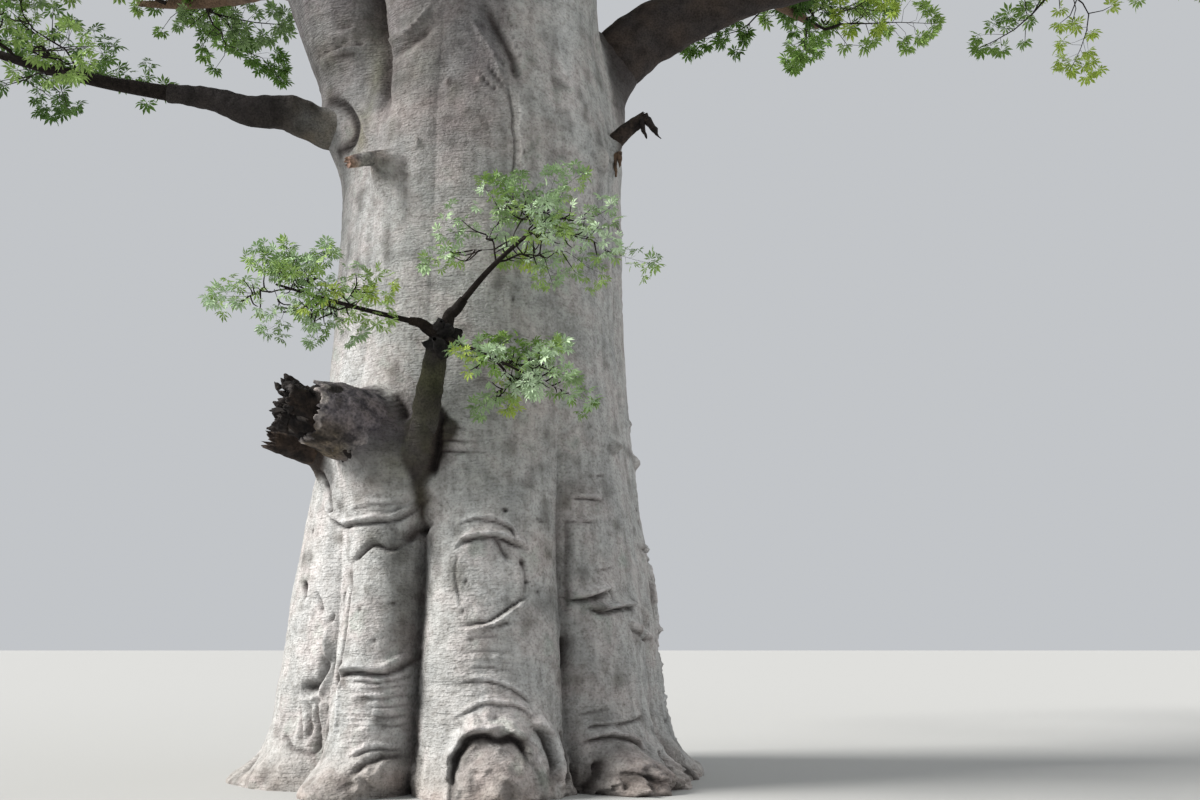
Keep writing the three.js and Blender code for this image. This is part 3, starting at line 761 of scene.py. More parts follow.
def tube_quads(rings, sides):
    r, s = np.meshgrid(np.arange(rings - 1), np.arange(sides), indexing="ij")
    n = (s + 1) % sides
    low, high = r * sides, (r + 1) * sides
    return np.stack([low + s, low + n, high + n, high + s], -1).reshape(-1, 4)


def add_tube(pile, points, radii, sides, tint):
    """A smooth tube that closes on a short point."""
    grid, _ = tube_grid(points, radii, sides)
    tip = points[-1] + unit(points[-1] - points[-2]) * radii[-1] * 0.8
    places = np.concatenate([grid.reshape(-1, 3), [tip]])
    last = (len(points) - 1) * sides
    triangles = [[last + s, last + (s + 1) % sides, len(places) - 1] for s in range(sides)]
    pile.add(places, tube_quads(len(points), sides), triangles, tint)


# Materials

MATT_GLOSS = 0.08
BARK_GLOSS = 0.25


class Look:
    """A material with short ways to lay noise over its colour and to raise it."""

    def __init__(self, name, roughness, gloss=BARK_GLOSS, tinted=True):
        self.material = bpy.data.materials.new(name)
        self.material.use_nodes = True
        self.nodes, self.links = self.material.node_tree.nodes, self.material.node_tree.links
        self.shader = self.nodes["Principled BSDF"]
        self.shader.inputs["Roughness"].default_value = roughness
        self.shader.inputs["Specular IOR Level"].default_value = gloss
        self.colour = self.normal = None
        if tinted:
            tint = self.nodes.new("ShaderNodeAttribute")
            tint.attribute_name = "tint"
            self.colour = tint.outputs["Color"]

    def add(self, kind, **inputs):
        """A new node whose inputs are wired to another node's output or set to a value."""
        node = self.nodes.new("ShaderNode" + kind)
        for name, value in inputs.items():
            if isinstance(value, bpy.types.NodeSocket):
                self.links.new(value, node.inputs[name])
            else:
                node.inputs[name].default_value = value
        return node

    def noise(self, scale, detail, stretch=None):
        coords = self.add("TexCoord").outputs["Object"]
        if stretch:
            coords = self.add("Mapping", Vector=coords, Scale=stretch).outputs["Vector"]
        return self.add("TexNoise", Vector=coords, Scale=scale, Detail=detail).outputs["Fac"]

    def paint(self, pattern, *stops, amount=1.0):
        """Multiplies the colour by shades, each a grey or a colour, that follow a pattern."""
        node = self.add("ValToRGB", Fac=pattern)
        elements = node.color_ramp.elements
        while len(elements) < len(stops):
            elements.new(0.5)
        for element, (position, shade) in zip(elements, stops):
            element.position = position
            element.color = (*(shade if np.ndim(shade) else (shade, shade, shade)), 1.0)
        shades = node.outputs["Color"]
        if self.colour:
            product = self.nodes.new("ShaderNodeMix")
            product.data_type = "RGBA"
            product.blend_type = "MULTIPLY"
            product.inputs["Factor"].default_value = amount
            self.links.new(self.colour, product.inputs["A"])
            self.links.new(shades, product.inputs["B"])
            shades = product.outputs["Result"]
        self.colour = shades
        self.links.new(self.colour, self.shader.inputs["Base Color"])

    def bump(self, height, strength, distance):
        node = self.add("Bump", Height=height, Strength=strength, Distance=distance)
        if self.normal:
            self.links.new(self.normal, node.inputs["Normal"])
        self.normal = node.outputs["Normal"]
        self.links.new(self.normal, self.shader.inputs["Normal"])


def bark_material():
    """Smooth baobab bark: dimpled skin, dark pores, blotches and faint upright streaks over the tint."""
    look = Look("Bark", 0.72)
    blotches = ((0.30, (0.80, 0.80, 0.79)), (0.48, (1.0, 0.98, 0.96)), (0.60, (1.06, 0.99, 0.97)))
    look.paint(look.noise(2.2, 5.0), *blotches, (0.74, (0.86, 0.90, 0.84)))
    look.paint(look.noise(1.0, 4.0, (9.0, 9.0, 0.7)), (0.34, (0.84, 0.83, 0.82)), (0.56, (1.05, 1.04, 1.03)))
    pores = look.noise(34.0, 3.0)
    pore_shades = ((0.33, (0.68, 0.67, 0.66)), (0.45, 0.95), (0.57, 1.05), (0.70, (1.12, 1.12, 1.13)))
    look.paint(pores, *pore_shades, amount=0.9)
    look.paint(look.noise(10.0, 3.0), (0.36, (0.80, 0.79, 0.78)), (0.50, 1.0), (0.64, 1.10))
    look.bump(look.noise(5.0, 4.0, (1.0, 1.0, 7.0)), 0.55, 0.04)
    look.bump(look.noise(23.0, 4.0, (1.0, 1.0, 2.0)), 0.7, 0.028)
    look.bump(pores, 0.6, 0.014)
    return look.material


def limb_material():
    """Bark of the boughs: the same skin, rougher, over the mesh's tint."""
    look = Look("BoughBark", 0.8, MATT_GLOSS)
    blotches = ((0.32, (0.62, 0.62, 0.60)), (0.5, (1.0, 0.99, 0.97)), (0.7, (1.25, 1.22, 1.15)))
    look.paint(look.noise(5.0, 5.0), *blotches)
    specks = look.noise(45.0, 3.0)
    look.paint(specks, (0.34, 0.55), (0.6, 1.12), amount=0.8)
    look.bump(look.noise(14.0, 5.0), 0.7, 0.04)
    look.bump(specks, 0.5, 0.012)
    return look.material


def dead_wood_material():
    """Weathered and charred wood: fissured, fibrous and matt."""
    look = Look("DeadWood", 0.92)
    char = look.noise(7.0, 6.0)
    look.paint(char, (0.36, (0.38, 0.38, 0.40)), (0.5, (0.95, 0.93, 0.90)), (0.68, (1.4, 1.34, 1.25)))
    fibres = look.noise(30.0, 4.0)
    look.paint(fibres, (0.36, 0.5), (0.62, 1.2), amount=0.8)
    look.bump(char, 0.8, 0.06)
    look.bump(fibres, 0.7, 0.02)
    return look.material


def leaf_material(name, colour):
    """One plain leaf colour with faint mottling, so that a spray doesn't look painted."""
    look = Look(name, 0.55, tinted=False)
    light = np.minimum(1.0, colour * 1.22)
    look.paint(look.noise(9.0, 2.0), (0.35, colour * 0.78), (0.55, colour), (0.72, light))
    look.bump(look.noise(60.0, 2.0), 0.3, 0.004)
    return look.material


def twig_material():
    look = Look("TwigBark", 0.85, MATT_GLOSS)
    specks = look.noise(22.0, 4.0)
    look.paint(specks, (0.36, 0.6), (0.62, (1.2, 1.18, 1.15)))
    look.bump(specks, 0.5, 0.008)
    return look.material


def srgb(*levels):
    """A colour given as it looks on a screen, from 0 to 255, in the linear numbers that the shader takes."""
    c = np.array(levels) / 255
    return np.where(c <= 0.04045, c / 12.92, ((c + 0.055) / 1.055) ** 2.4)


BARK_GREY = srgb(168, 170, 170)
BARK_PALE = srgb(224, 226, 229)
BARK_PINK = srgb(174, 162, 157)
PAINTED_BARK_SHADE = srgb(56, 49, 47)
BARK_BROWN = srgb(126, 104, 86)
BARK_MOSS = srgb(104, 106, 78)
BARK_SLATE = srgb(82, 78, 82)
CHARCOAL = srgb(62, 58, 58)
BLACK_WOOD = srgb(44, 39, 38)
PALE_WOOD = srgb(160, 154, 152)
BROWN_WOOD = srgb(104, 86, 72)
MOSS_AND_SHADE_WOOD = srgb(84, 74, 52)
PINK_WOOD = srgb(150, 120, 112)
STUB_WOOD = srgb(150, 124, 112)
TWIG_DARK = srgb(44, 39, 37)


def mix(a, b, amount):
    return a + (b - a) * clamp(amount)[:, None]


def limb_colour(name, places, share):
    """Bark by limb: grey like the trunk, slate on the stump, or charcoal and moss on the old dark ones."""
    mottle = rough_noise(places, 0.25, 71)
    flat = np.ones((len(places), 1))
    if name == "broken_stump":
        colour = mix(BARK_SLATE * 1.12 * flat, BARK_GREY * 0.7, 0.35 * mottle)
        return mix(colour, BARK_BROWN * 0.5, 0.02 + 0.25 * noise(places, 0.3, 73))
    if name == "left_low_bough":
        colour = mix(BARK_GREY * 0.62 * flat, BARK_MOSS * 0.7, 0.25 + 0.4 * mottle)
        colour = mix(colour, BARK_BROWN * 0.55, smooth_step(share, 0.05, 0.25) * (0.4 + 0.4 * mottle))
        return mix(colour, CHARCOAL * 0.7, smooth_step(share, 0.15, 0.60))
    if name.startswith("right_bough"):
        return mix(CHARCOAL * flat, BARK_BROWN * 0.5, 0.15 + 0.3 * mottle)
    if name.startswith("front_limb"):
        return mix(CHARCOAL * 0.26 * flat, BARK_BROWN * 0.2, 0.2 + 0.5 * mottle)
    if name == "front_bough":
        colour = mix(CHARCOAL * 0.75 * flat, BARK_MOSS * 0.55, 0.30 + 0.5 * mottle)
        colour = mix(colour, CHARCOAL * 0.35, smooth_step(share, 0.80, 0.97))
        return mix(colour, BARK_SLATE * 1.2, 1 - smooth_step(share, 0.0, 0.5))
    if name == "lower_snag":
        return mix(BLACK_WOOD * flat, BROWN_WOOD, 0.15 + 0.35 * mottle)
    if name == "dead_branch":
        return mix(BLACK_WOOD * 1.3 * flat, BROWN_WOOD, 0.3 + 0.35 * mottle)
    if name == "low_stub":
        return mix(BARK_GREY * 0.7 * flat, BARK_BROWN * 0.8, 0.3 + 0.5 * mottle)
    young = smooth_step(share + 0.15 * mottle, 0.25, 0.95)
    colour = mix(BARK_GREY * flat, BARK_PINK, 0.3 + 0.3 * mottle)
    if name in ("left_fork", "front_fork"):
        colour = mix(colour, BARK_SLATE, 0.40 * (1 - smooth_step(share, 0.0, 0.45)))
    return mix(colour, BARK_BROWN * 0.6, 0.95 * young)


# The trunk's skin

# Folds and creases of the front, by where they show in the reference view. Each is its kind, its half width
# and its height or depth in metres, and its course. A lip stands up on the left-hand side of its course and
# is undercut on the right-hand side.
FRONT_FOLDS = [
    # under the broken stump
    ("lip", 0.035, 0.060, [(324, 505), (328, 514), (335, 521), (342, 526), (355, 523), (370, 521),
        (390, 520), (407, 515), (420, 506), (427, 499)]),
    ("lip", 0.020, 0.018, [(350, 509), (366, 505), (384, 505), (402, 500)]),
    ("crease", 0.018, 0.014, [(346, 516), (372, 513), (395, 511), (412, 504)]),
    ("crease", 0.034, 0.090, [(352, 563), (360, 554), (368, 547), (377, 546), (388, 550), (396, 547),
        (403, 543)]),
    ("crease", 0.060, 0.160, [(401, 543), (408, 534), (418, 529), (430, 527)]),
    ("ridge", 0.030, 0.045, [(424, 536), (432, 530), (436, 528)]),
    ("crease", 0.022, 0.035, [(352, 563), (351, 580), (349, 600), (346, 622), (343, 650), (341, 668)]),
    ("crease", 0.030, 0.050, [(323, 473), (326, 482), (330, 491), (332, 510)]),
    # ring round the left column and the wrinkles under it
    ("lip", 0.042, 0.080, [(338, 680), (343, 671), (355, 670), (368, 671), (386, 671), (398, 667),
        (410, 660), (421, 652)]),
    ("lip", 0.024, 0.030, [(352, 680), (372, 681), (392, 680), (408, 676)]),
    ("crease", 0.016, 0.016, [(362, 688), (384, 689), (410, 685)]),
    ("crease", 0.018, 0.020, [(356, 697), (380, 699), (412, 694)]),
    ("crease", 0.016, 0.016, [(366, 706), (388, 707), (412, 703)]),
    ("crease", 0.018, 0.022, [(360, 715), (384, 717), (413, 714)]),
    ("crease", 0.018, 0.020, [(372, 724), (390, 726), (412, 722)]),
    ("lip", 0.030, 0.040, [(352, 757), (364, 750), (383, 747), (405, 748)]),
    ("crease", 0.040, 0.090, [(352, 778), (362, 768), (375, 760), (391, 755), (407, 758)]),
    # rough left column
    ("crease", 0.060, 0.120, [(325, 655), (323, 668), (320, 680), (310, 687), (297, 692)]),
    ("ridge", 0.045, 0.060, [(327, 622), (326, 645), (327, 668), (324, 690), (314, 699), (298, 697)]),
    ("crease", 0.045, 0.090, [(341, 660), (338, 672), (333, 690)]),
    ("ridge", 0.035, 0.040, [(343, 672), (339, 690), (337, 710), (335, 735)]),
    ("crease", 0.026, 0.045, [(307, 702), (309, 720), (306, 742)]),
    ("crease", 0.026, 0.050, [(314, 704), (317, 724), (316, 748), (308, 757)]),
    ("crease", 0.022, 0.035, [(298, 706), (300, 726), (302, 744)]),
    ("crease", 0.024, 0.040, [(284, 734), (289, 742), (296, 750), (312, 757)]),
    ("crease", 0.022, 0.035, [(326, 705), (328, 724), (325, 745)]),
    ("crease", 0.035, 0.060, [(302, 583), (306, 592), (303, 600)]),
    ("crease", 0.024, 0.040, [(316, 592), (320, 602), (322, 612)]),
    ("crease", 0.024, 0.035, [(336, 612), (332, 620), (328, 618)]),
    ("crease", 0.020, 0.030, [(345, 590), (342, 600), (343, 612)]),
    ("crease", 0.050, 0.120, [(256, 752), (252, 760), (246, 770)]),
    # the oval scar and its lips
    ("lip", 0.032, 0.075, [(458, 545), (464, 539), (475, 536), (490, 535), (505, 538), (517, 543),
        (526, 549)]),
    ("lip", 0.022, 0.040, [(462, 524), (470, 520), (480, 519), (494, 520), (505, 525), (514, 533),
        (519, 542)]),
    ("crease", 0.022, 0.050, [(495, 539), (501, 545), (505, 552), (508, 560)]),
    ("crease", 0.018, 0.022, [(518, 556), (523, 568), (526, 582), (524, 594)]),
    ("lip", 0.032, 0.055, [(527, 597), (512, 607), (496, 620), (478, 626), (464, 627)]),
    ("crease", 0.020, 0.035, [(512, 622), (494, 627), (478, 630)]),
    ("crease", 0.016, 0.020, [(458, 552), (455, 566), (456, 584), (461, 604)]),
    ("crease", 0.018, 0.025, [(535, 517), (540, 520), (545, 524)]),
    ("crease", 0.018, 0.030, [(502, 508), (508, 512)]),
    # folds over the arch at the middle column's foot
    ("lip", 0.022, 0.030, [(462, 682), (478, 680), (494, 682), (510, 687), (523, 695), (531, 707)]),
    ("lip", 0.026, 0.028, [(458, 716), (470, 708), (484, 703), (505, 702), (520, 706), (533, 716)]),
    ("crease", 0.016, 0.014, [(470, 668), (492, 667), (512, 671)]),
    ("crease", 0.016, 0.014, [(468, 652), (486, 650), (508, 653)]),
    ("crease", 0.016, 0.012, [(464, 640), (482, 636), (500, 637)]),
    ("ridge", 0.085, 0.150, [(530, 714), (541, 722), (550, 733), (555, 746), (557, 762), (556, 790)]),
    ("crease", 0.026, 0.060, [(560, 730), (565, 745), (566, 765), (563, 790)]),
    ("crease", 0.034, 0.090, [(532, 727), (541, 736), (547, 748), (551, 762), (550, 778)]),
    # right column
    ("crease", 0.045, 0.120, [(563, 633), (565, 645), (564, 658), (563, 670)]),
    ("crease", 0.026, 0.030, [(567, 514), (567, 545), (566, 567), (567, 598), (565, 615)]),
    ("lip", 0.020, 0.030, [(588, 474), (596, 475), (605, 474)]),
    ("lip", 0.024, 0.045, [(572, 497), (584, 496), (600, 500)]),
    ("lip", 0.022, 0.035, [(562, 521), (576, 522), (595, 519)]),
    ("lip", 0.018, 0.025, [(594, 569), (604, 568), (612, 565)]),
    ("lip", 0.042, 0.120, [(566, 597), (580, 598), (592, 595), (608, 591)]),
    ("lip", 0.036, 0.095, [(586, 606), (604, 611), (620, 608), (636, 603)]),
    ("ridge", 0.030, 0.040, [(560, 590), (574, 589), (590, 586), (604, 584)]),
    ("crease", 0.020, 0.030, [(606, 586), (612, 593), (614, 601)]),
    ("crease", 0.024, 0.050, [(628, 626), (634, 634), (642, 640), (650, 640)]),
    ("ridge", 0.030, 0.050, [(624, 618), (634, 624), (643, 632), (652, 638)]),
    ("crease", 0.018, 0.022, [(578, 716), (592, 712), (606, 708)]),
    ("lip", 0.034, 0.070, [(579, 742), (592, 737), (606, 735), (622, 737), (636, 743), (645, 750)]),
    ("lip", 0.024, 0.035, [(582, 727), (596, 724), (612, 723)]),
    ("crease", 0.024, 0.045, [(612, 727), (624, 724), (642, 719)]),
    ("crease", 0.040, 0.090, [(604, 760), (596, 770), (588, 779), (579, 792)]),
    ("crease", 0.034, 0.080, [(612, 775), (624, 772), (640, 777), (654, 783)]),
    ("crease", 0.030, 0.080, [(655, 752), (662, 760), (668, 772), (668, 790)]),
    ("crease", 0.026, 0.060, [(676, 764), (680, 776), (686, 788)]),
    # thin lines across the middle column
    ("crease", 0.014, 0.014, [(436, 442), (458, 440), (480, 442)]),
    ("crease", 0.014, 0.012, [(436, 452), (462, 453), (488, 451)]),
    ("crease", 0.014, 0.010, [(470, 430), (492, 431)]),
    # round the front bough's foot
    ("crease", 0.055, 0.160, [(438, 404), (438, 420), (437, 436), (436, 450), (432, 466), (427, 478)]),
    ("ridge", 0.026, 0.040, [(431, 426), (430, 440), (428, 452)]),
    ("crease", 0.018, 0.022, [(440, 430), (452, 428), (466, 431)]),
    ("crease", 0.020, 0.030, [(438, 453), (452, 451), (468, 452)]),
    ("crease", 0.016, 0.018, [(442, 441), (456, 441), (468, 443)]),
    ("crease", 0.040, 0.070, [(396, 398), (403, 408), (406, 420)]),
    # upper trunk
    ("crease", 0.055, 0.045, [(332, 100), (344, 104), (353, 113), (358, 124), (358, 135), (352, 145),
        (342, 152)]),
    ("lip", 0.050, 0.070, [(366, 47), (354, 46), (345, 46), (333, 52), (320, 62)]),
    ("crease", 0.050, 0.040, [(332, 58), (345, 56), (358, 55)]),
    ("lip", 0.036, 0.040, [(360, 26), (346, 31), (328, 36)]),
    ("crease", 0.120, 0.130, [(376, -30), (377, 0), (381, 25), (386, 60), (384, 92), (388, 112)]),
    ("ridge", 0.036, 0.055, [(386, 44), (398, 37), (410, 30), (424, 18), (432, 6)]),
    ("crease", 0.075, 0.055, [(390, 56), (404, 48), (418, 38), (434, 26)]),
    ("ridge", 0.050, 0.045, [(470, 20), (484, 38), (496, 58), (503, 78)]),
    ("crease", 0.085, 0.070, [(484, 4), (494, 22), (502, 38), (510, 52), (514, 64), (519, 84)]),
    ("crease", 0.014, 0.016, [(500, 12), (507, 8), (513, 9)]),
    ("crease", 0.014, 0.016, [(504, 21), (511, 17), (517, 18)]),
    ("crease", 0.014, 0.016, [(507, 30), (514, 26), (519, 27)]),
    ("crease", 0.014, 0.016, [(511, 39), (517, 35), (522, 36)]),
    ("crease", 0.014, 0.016, [(514, 48), (520, 44), (525, 46)]),
    ("crease", 0.014, 0.016, [(516, 58), (522, 54), (527, 56)]),
    ("crease", 0.020, 0.028, [(488, 66), (496, 76), (505, 88)]),
    ("crease", 0.020, 0.028, [(480, 74), (488, 84), (498, 92)]),
    ("crease", 0.018, 0.022, [(492, 52), (500, 60), (509, 70)]),
    ("crease", 0.022, 0.030, [(506, 80), (511, 100), (513, 124), (514, 150), (514, 184), (513, 222)]),
    ("ridge", 0.035, 0.020, [(519, 92), (521, 122), (522, 160), (521, 200)]),
    ("ridge", 0.040, 0.050, [(346, 98), (358, 110), (367, 126), (374, 144)]),
]

# Knots and lumps of the front: place in the reference view, half width, rise
FRONT_LUMPS = [
    (583, 171, 0.085, 0.150),
    (600, 158, 0.150, 0.110),
    (612, 447, 0.080, 0.150),
    (637, 462, 0.100, 0.090),
    (640, 545, 0.070, 0.060),
    (645, 615, 0.090, 0.050),
    (636, 632, 0.100, 0.080),
    (448, 82, 0.040, 0.030),
    (419, 142, 0.045, 0.030),
    (524, 152, 0.045, 0.030),
    (480, 80, 0.040, 0.025),
    (388, 160, 0.140, 0.080),
    (627, 762, 0.170, 0.100),
    (652, 768, 0.140, 0.090),
    (668, 750, 0.150, 0.100),
    (640, 788, 0.160, 0.120),
    (612, 786, 0.120, 0.080),
    (684, 776, 0.110, 0.120),
    (378, 772, 0.180, 0.150),
    (400, 778, 0.120, 0.100),
    (330, 776, 0.130, 0.060),
    (285, 768, 0.150, 0.060),
    (262, 770, 0.120, 0.080),
    (470, 722, 0.070, 0.050),
    (487, 716, 0.060, 0.040),
    (505, 724, 0.070, 0.050),
    (520, 733, 0.075, 0.060),
    (534, 748, 0.070, 0.060),
]

# Small pits, darkened with painted shade: place in the reference view and half width
FRONT_PITS = [
    (323, 474, 0.035), (327, 484, 0.040), (331, 493, 0.030), (332, 511, 0.035), (312, 532, 0.040),
    (304, 586, 0.060), (522, 563, 0.028), (527, 582, 0.022), (538, 593, 0.026), (506, 511, 0.030),
    (467, 580, 0.022), (612, 166, 0.030), (617, 449, 0.045), (584, 173, 0.040), (524, 153, 0.020),
    (449, 82, 0.018), (512, 300, 0.020), (598, 352, 0.022), (463, 612, 0.018), (360, 610, 0.025),
    (373, 640, 0.025), (392, 604, 0.022),
]

# Stains, pale places and some painted light and shade of the front: layer, place in the reference view, half
# width, half height, strength
FRONT_PATCHES = [
    ("moss", 360, 136, 0.24, 0.30, 1.5),
    ("moss", 378, 60, 0.16, 0.9, 1.0),
    ("moss", 415, 60, 0.45, 0.6, 0.45),
    ("moss", 400, 470, 0.35, 0.30, 0.75),
    ("moss", 478, 478, 0.30, 0.22, 0.35),
    ("moss", 405, 600, 0.16, 0.60, 0.40),
    ("moss", 330, 56, 0.35, 0.30, 0.55),
    # Partly pale bark, partly painted light on the lit left columns.
    ("pale", 360, 270, 0.55, 2.0, 1.0),
    ("pale", 490, 700, 0.40, 0.35, 0.30),
    ("pale", 385, 700, 0.35, 0.35, 0.30),
    ("pale", 330, 600, 0.55, 1.2, 0.45),
    # Painted light on the top of the right column.
    ("pale", 565, 60, 0.36, 1.8, 0.55),
    ("brown", 372, 168, 0.22, 0.25, 0.7),
    ("brown", 510, 705, 0.45, 0.30, 0.30),
    ("brown", 490, 640, 0.35, 0.25, 0.25),
    ("slate", 405, 425, 0.16, 0.42, 0.8),
    ("slate", 442, 450, 0.10, 0.28, 0.9),
    ("slate", 600, 500, 0.45, 0.70, 0.28),
    ("slate", 605, 680, 0.45, 0.70, 0.26),
    ("slate", 640, 766, 0.45, 0.35, 0.40),
    # Painted shade of the crown on the upper trunk's left and middle.
    ("slate", 395, 60, 0.40, 0.75, 0.55),
    ("slate", 300, 30, 0.70, 0.80, 0.40),
    ("slate", 455, 70, 0.55, 1.4, 0.75),
    # Painted light: less slate on the top of the right column.
    ("slate", 562, 60, 0.34, 1.8, -0.90),
    # Painted shadow on the ring lobe's right side, by the groove.
    ("slate", 408, 620, 0.14, 0.55, 0.75),
]

# Where level wrinkles crowd: place in the reference view, half width, half height, strength
WRINKLED = [
    (390, 705, 0.45, 0.50, 0.016),
    (490, 660, 0.50, 0.45, 0.011),
    (600, 735, 0.45, 0.35, 0.016),
    (330, 40, 0.60, 0.50, 0.014),
    (470, 440, 0.50, 0.25, 0.006),
    (380, 510, 0.40, 0.20, 0.008),
]

# Painted shade along a crack by the left low bough's foot and in the corner by the broken stump, and the
# front bough's painted shadow on the middle column: width, strength, course in the reference view
PAINTED_SHADE_LINES = [
    (0.070, 1.25, [(331, 101), (342, 104), (352, 112), (357, 122), (358, 134), (352, 144), (340, 152)]),
    (0.050, 1.5, [(439, 412), (438, 426), (436, 440), (435, 452), (431, 466)]),
    (0.060, 1.1, [(396, 396), (401, 404), (404, 414)]),
]

# Healed scars of the back: bearing, height, half width, half height
BACK_SCARS = [(100, 2.2, 0.34, 0.46), (186, 3.4, 0.42, 0.55), (-128, 1.9, 0.36, 0.44)]


found_on_trunk = {}


def on_trunk(u, v):
    """The bearing and height on the trunk's front that show at a place of the reference view."""
    if (u, v) not in found_on_trunk:
        depths = np.linspace(-4.0, 0.6, 461)
        x, z = seen_at(u, v, depths)
        bearings = np.degrees(np.arctan2(x, -depths))
        inside = np.hypot(x, depths) <= trunk_radius(bearings, np.maximum(z, 0.0))
        first = int(np.argmax(inside)) if inside.any() else int(np.argmin(np.hypot(x, depths)))
        found_on_trunk[(u, v)] = (float(bearings[first]), float(z[first]))
    return found_on_trunk[(u, v)]


def rounded(course, times=2):
    """A course with its corners cut, so that it runs smoothly."""
    course = np.asarray(course, float)
    for _ in range(times):
        ahead = 0.75 * course[:-1] + 0.25 * course[1:]
        behind = 0.25 * course[:-1] + 0.75 * course[1:]
        middle = np.stack([ahead, behind], 1).reshape(-1, 2)
        course = np.concatenate([course[:1], middle, course[-1:]])
    return course


CHART_RADIUS = 2.2  # turns a bearing into a distance round the trunk


def chart_place(bearing):
    return math.radians(bearing) * CHART_RADIUS

class Skin:
    """Relief and colour weights over places of the trunk's chart, which is unrolled distance and height."""

    def __init__(self, bearing, z):
        self.across = np.radians(wrap_degrees(bearing)) * CHART_RADIUS
        self.z = z
        # dark holds the shade painted into the bark: in creases, pits, clefts, undercuts and under lumps
        self.lift, self.dark, self.pale, self.brown, self.moss, self.slate = np.zeros((6, len(z)))
        self.chart = np.stack([self.across, self.z, np.zeros(len(z))], 1)
        self.a = self.across + 0.018 * noise(self.chart, 0.16, 5) + 0.006 * noise(self.chart, 0.05, 6)
        self.b = self.z + 0.018 * noise(self.chart, 0.16, 7) + 0.006 * noise(self.chart, 0.05, 8)

    def near(self, low, high, margin):
        return np.nonzero(
            (self.a > low[0] - margin) & (self.a < high[0] + margin)
            & (self.b > low[1] - margin) & (self.b < high[1] + margin)
        )[0]

    def stroke(self, kind, width, height, course):
        course = rounded(course)
        found = self.near(course.min(0), course.max(0), 4 * width)
        if not len(found):
            return
        p = np.stack([self.a[found], self.b[found]], 1)
        lengths = np.linalg.norm(np.diff(course, axis=0), axis=1)
        total = lengths.sum()
        nearest = np.full(len(found), 1e9)
        signed = np.zeros(len(found))
        travel = np.zeros(len(found))
        done = 0.0
        for start, end, length in zip(course[:-1], course[1:], lengths):
            if length < 1e-6:
                continue
            d = (end - start) / length
            offset = p - start
            t = np.clip(offset @ d, 0.0, length)
            gap = np.linalg.norm(offset - t[:, None] * d, axis=1)
            left = d[0] * offset[:, 1] - d[1] * offset[:, 0]
            closer = gap < nearest
            nearest = np.where(closer, gap, nearest)
            signed = np.where(closer, np.sign(left) * gap, signed)
            travel = np.where(closer, (done + t) / total, travel)
            done += length
        taper = np.clip(np.minimum(travel, 1 - travel) * 6.0, 0.12, 1.0) ** 0.7
        s = signed / width
        if kind == "crease":
            self.lift[found] -= height * taper * bell(s)
            # Painted shade in the crease.
            self.dark[found] += taper * bell(s * 1.1) * min(1.0, 0.45 + 9 * height)
        elif kind == "ridge":
            self.lift[found] += height * taper * bell(s)
            self.pale[found] += 0.35 * taper * bell(s)
        else:
            crest = bell((s - 0.9) / 1.1)
            undercut = bell((s + 0.55) / 0.6)
            self.lift[found] += height * taper * (crest - 0.95 * undercut)
            self.pale[found] += 0.4 * taper * crest
            # Painted shade in the undercut under the lip.
            self.dark[found] += taper * undercut * min(1.0, 0.5 + 9 * height)

    def round_place(self, bearing, z, width):
        """The places round a spot of the chart, and their distance from it in widths."""
        a = chart_place(bearing)
        found = self.near((a, z), (a, z), 3 * width)
        return found, np.hypot(self.a[found] - a, self.b[found] - z) / width

    def lump(self, bearing, z, width, rise):
        found, distance = self.round_place(bearing, z, width)
        self.lift[found] += rise * bell(distance, 2.6)
        self.brown[found] += 0.35 * bell(distance)
        # A painted shadow along the lump's lower edge.
        self.dark[found] += 0.35 * bell((distance - 1.35) / 0.35) * (self.b[found] < z)

    def pit(self, bearing, z, width):
        found, distance = self.round_place(bearing, z, width)
        self.lift[found] -= 0.9 * width * bell(distance)
        # Painted shade in the pit.
        self.dark[found] += 1.2 * bell(distance)

    def spread(self, bearing, z, half_width, half_height):
        """A soft oval weight, 1 at its middle."""
        across = (self.across - chart_place(bearing)) / half_width
        return np.exp(-(across**2) - ((self.z - z) / half_height) ** 2)

    def patch(self, name, bearing, z, half_width, half_height, amount):
        weight = self.spread(bearing, z, half_width, half_height)
        layer = getattr(self, name)
        layer += amount * weight
        return weight


